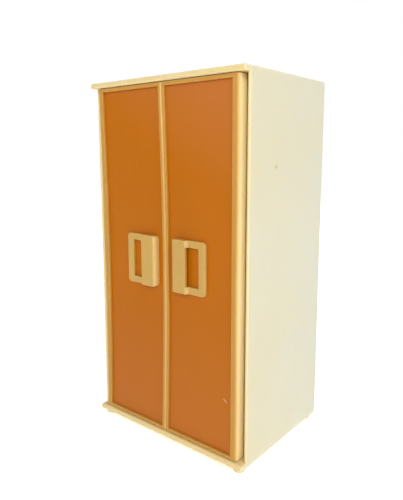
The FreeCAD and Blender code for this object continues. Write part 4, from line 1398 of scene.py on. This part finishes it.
# Each moulding mixes its two colours by facing. On the cabinet, doors and pulls the pale colour
# of side faces is partly painted light, and the yellower, darker colour of front, top and hollow
# faces partly painted shade; the rest is yellowed with age.
FINISHES: dict[Slot, MouldedPlastic | ColouredSheet] = {
    Slot.CABINET: MouldedPlastic(
        fresh=srgb(211, 209, 189), aged=srgb(218, 196, 136), face_yellowing=0.65,
        depth_yellowing=0.2, grime=0.06, smudge=0.5),
    Slot.BACK: MouldedPlastic(
        fresh=srgb(224, 218, 196), aged=srgb(216, 196, 150), roughness=0.6, peel=0.3),
    Slot.FITTINGS: MouldedPlastic(
        fresh=srgb(230, 226, 206), aged=srgb(224, 206, 160), face_yellowing=0.2),
    Slot.RAIL: MouldedPlastic(
        fresh=srgb(232, 230, 220), aged=srgb(226, 214, 184)),
    # On the doors the pale colour on side faces is painted light and the dark tan on front faces
    # painted shade, laid over the doors' own tan.
    Slot.DOOR: MouldedPlastic(
        fresh=srgb(254, 226, 168), aged=srgb(189, 141, 64), face_yellowing=1.0,
        specular=0.2, patchy_yellowing=0.12, edge_paleness=0.04),
    Slot.HANDLE: MouldedPlastic(
        fresh=srgb(208, 172, 98), aged=srgb(193, 155, 74), face_yellowing=1.0, scuff=0.2,
        specular=0.5, roughness=0.36, edge_paleness=0.2),
    Slot.HANGER: MouldedPlastic(
        fresh=srgb(232, 230, 220), aged=srgb(226, 214, 184)),
    # The third colour is the pinker painted sheen at the panel's top right and foot.
    Slot.PANEL: ColouredSheet(
        colour=srgb(175, 97, 0), cloud=srgb(182, 102, 4), chalky=srgb(181, 105, 44),
        nick_turn=-0.93,
        nick_at=(57.4 * MM, -50.9 * MM, 50.8 * MM), nick_strength=0.9),
}


# ---- sub-assemblies -------------------------------------------------------------------


@dataclass
class Assembly:
    """A body's pieces: builds them, dresses them and reports them."""

    frame: dict
    finishes: dict[Slot, bpy.types.Material]
    pieces: list[bpy.types.Object] = field(default_factory=list)

    def keep(self, piece: bpy.types.Object, slot: Slot) -> None:
        """Dress a piece in its slot's finish and note it.

        Args:
            piece: The new piece.
            slot: Its slot.
        """
        wear_finish(piece, self.finishes[slot])
        self.pieces.append(piece)

    def mould(self, moulding: Moulding) -> None:
        """Build one moulding and dress it.

        Args:
            moulding: What to build.
        """
        self.keep(moulding.build(self.frame), moulding.slot)

    def report(self) -> None:
        """Log each piece with its face count."""
        for piece in self.pieces:
            LOG.info("%s: %d faces", piece.name, len(piece.data.polygons))


@dataclass
class Cabinet(Assembly):
    """Shell, back and feet."""

    body: str = "cabinet"
    shell_edge: float = 0.3 * MM
    foot_edge: float = 0.35 * MM

    def build(self) -> None:
        """Build the cabinet's outer pieces."""
        self.mould(Moulding("cabinet_shell", self.body, Slot.CABINET, self.shell_edge))
        self.mould(Moulding("back_panel", self.body, Slot.BACK))
        for end in ("front", "rear"):
            for side in Side:
                node = f"{end}_{side.word}_foot"
                self.mould(Moulding(node, self.body, Slot.CABINET, self.foot_edge))


@dataclass
class Interior(Assembly):
    """Partition, shelves and rail, with the marks of the ejector pins under the shelves."""

    body: str = "cabinet"
    shelves: tuple[str, ...] = ("left_shelf_1", "left_shelf_2", "left_shelf_3", "hat_shelf")
    board: float = 1.8 * MM
    mark_spread: float = 0.7

    def build(self) -> None:
        """Build what is fitted inside the shell."""
        self.mould(Moulding("partition", self.body, Slot.FITTINGS))
        self.mould(Moulding("hanging_rail", self.body, Slot.RAIL))
        for shelf in self.shelves:
            self.mould(Moulding(shelf, self.body, Slot.FITTINGS))
            self.mark_underside(shelf)

    def mark_underside(self, shelf: str) -> None:
        """Put rings under a shelf's board.

        Args:
            shelf: The shelf's node.
        """
        low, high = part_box(shelf)
        span = (self.mark_spread * (high[0] - low[0]), self.mark_spread * (high[1] - low[1]))
        centre = ((low[0] + high[0]) / 2, (low[1] + high[1]) / 2, high[2] - self.board)
        marks = PinMarks(3, 3, span, centre, (0.0, 0.0, 0.0))
        finish = self.finishes[Slot.FITTINGS]
        piece = marks.build(f"{shelf}_pin_marks", self.body, Slot.FITTINGS, finish)
        self.keep(piece, Slot.FITTINGS)


@dataclass
class Door(Assembly):
    """One door: frame, coloured sheet and finger pull."""

    side: Side = Side.LEFT
    hinge_bow: float = 2.2 * MM
    free_bow: float = 3.4 * MM
    frame_edge: float = 0.22 * MM
    panel_edge: float = 0.12 * MM
    mark_spread: tuple[float, float] = (0.62, 0.8)

    def build(self) -> None:
        """Build the door's pieces, all drawn in by the same bow."""
        body = f"{self.side.word}_door"
        panel = f"{body}_panel"
        frame_low, frame_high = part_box(f"{body}_frame")
        bow = Bow(self.hinge_bow, self.free_bow, tuple(frame_low), tuple(frame_high))
        self.mould(Moulding(f"{body}_frame", body, Slot.DOOR, self.frame_edge, bow=bow))
        self.mould(Moulding(panel, body, Slot.PANEL, self.panel_edge, 2, bow=bow))
        low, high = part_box(panel)
        handle = f"{self.side.word}_handle"
        self.mould(FingerPull(handle, body, Slot.HANDLE, seat=low[1], bow=bow))
        span = (self.mark_spread[0] * (high[0] - low[0]),
                self.mark_spread[1] * (high[2] - low[2]))
        centre = ((low[0] + high[0]) / 2, high[1], (low[2] + high[2]) / 2)
        marks = PinMarks(2, 4, span, centre, (math.pi / 2, 0.0, 0.0), bow=bow)
        piece = marks.build(f"{panel}_pin_marks", body, Slot.PANEL, self.finishes[Slot.PANEL])
        self.keep(piece, Slot.PANEL)


@dataclass
class Hangers(Assembly):
    """The three hangers on the rail."""

    count: int = 3

    def build(self) -> None:
        """Build every hanger on its own body."""
        for number in range(1, self.count + 1):
            hanger = Hanger(f"hanger_{number}")
            self.keep(hanger.build(self.finishes[Slot.HANGER]), Slot.HANGER)


def main() -> None:
    """Load the frame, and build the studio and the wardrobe."""
    logging.basicConfig(level=logging.INFO, format="%(message)s")
    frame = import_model()
    studio = Studio()
    studio.set_camera()
    studio.lay_floor()
    studio.light()
    finishes = {slot: finish.material(slot.value) for slot, finish in FINISHES.items()}
    assemblies = [Cabinet(frame, finishes), Interior(frame, finishes), Hangers(frame, finishes)]
    assemblies += [Door(frame, finishes, side=Side.LEFT),
                   Door(frame, finishes, side=Side.RIGHT, hinge_bow=0.0, free_bow=2.9 * MM)]
    for assembly in assemblies:
        assembly.build()
        assembly.report()


if __name__ == "__main__":
    main()
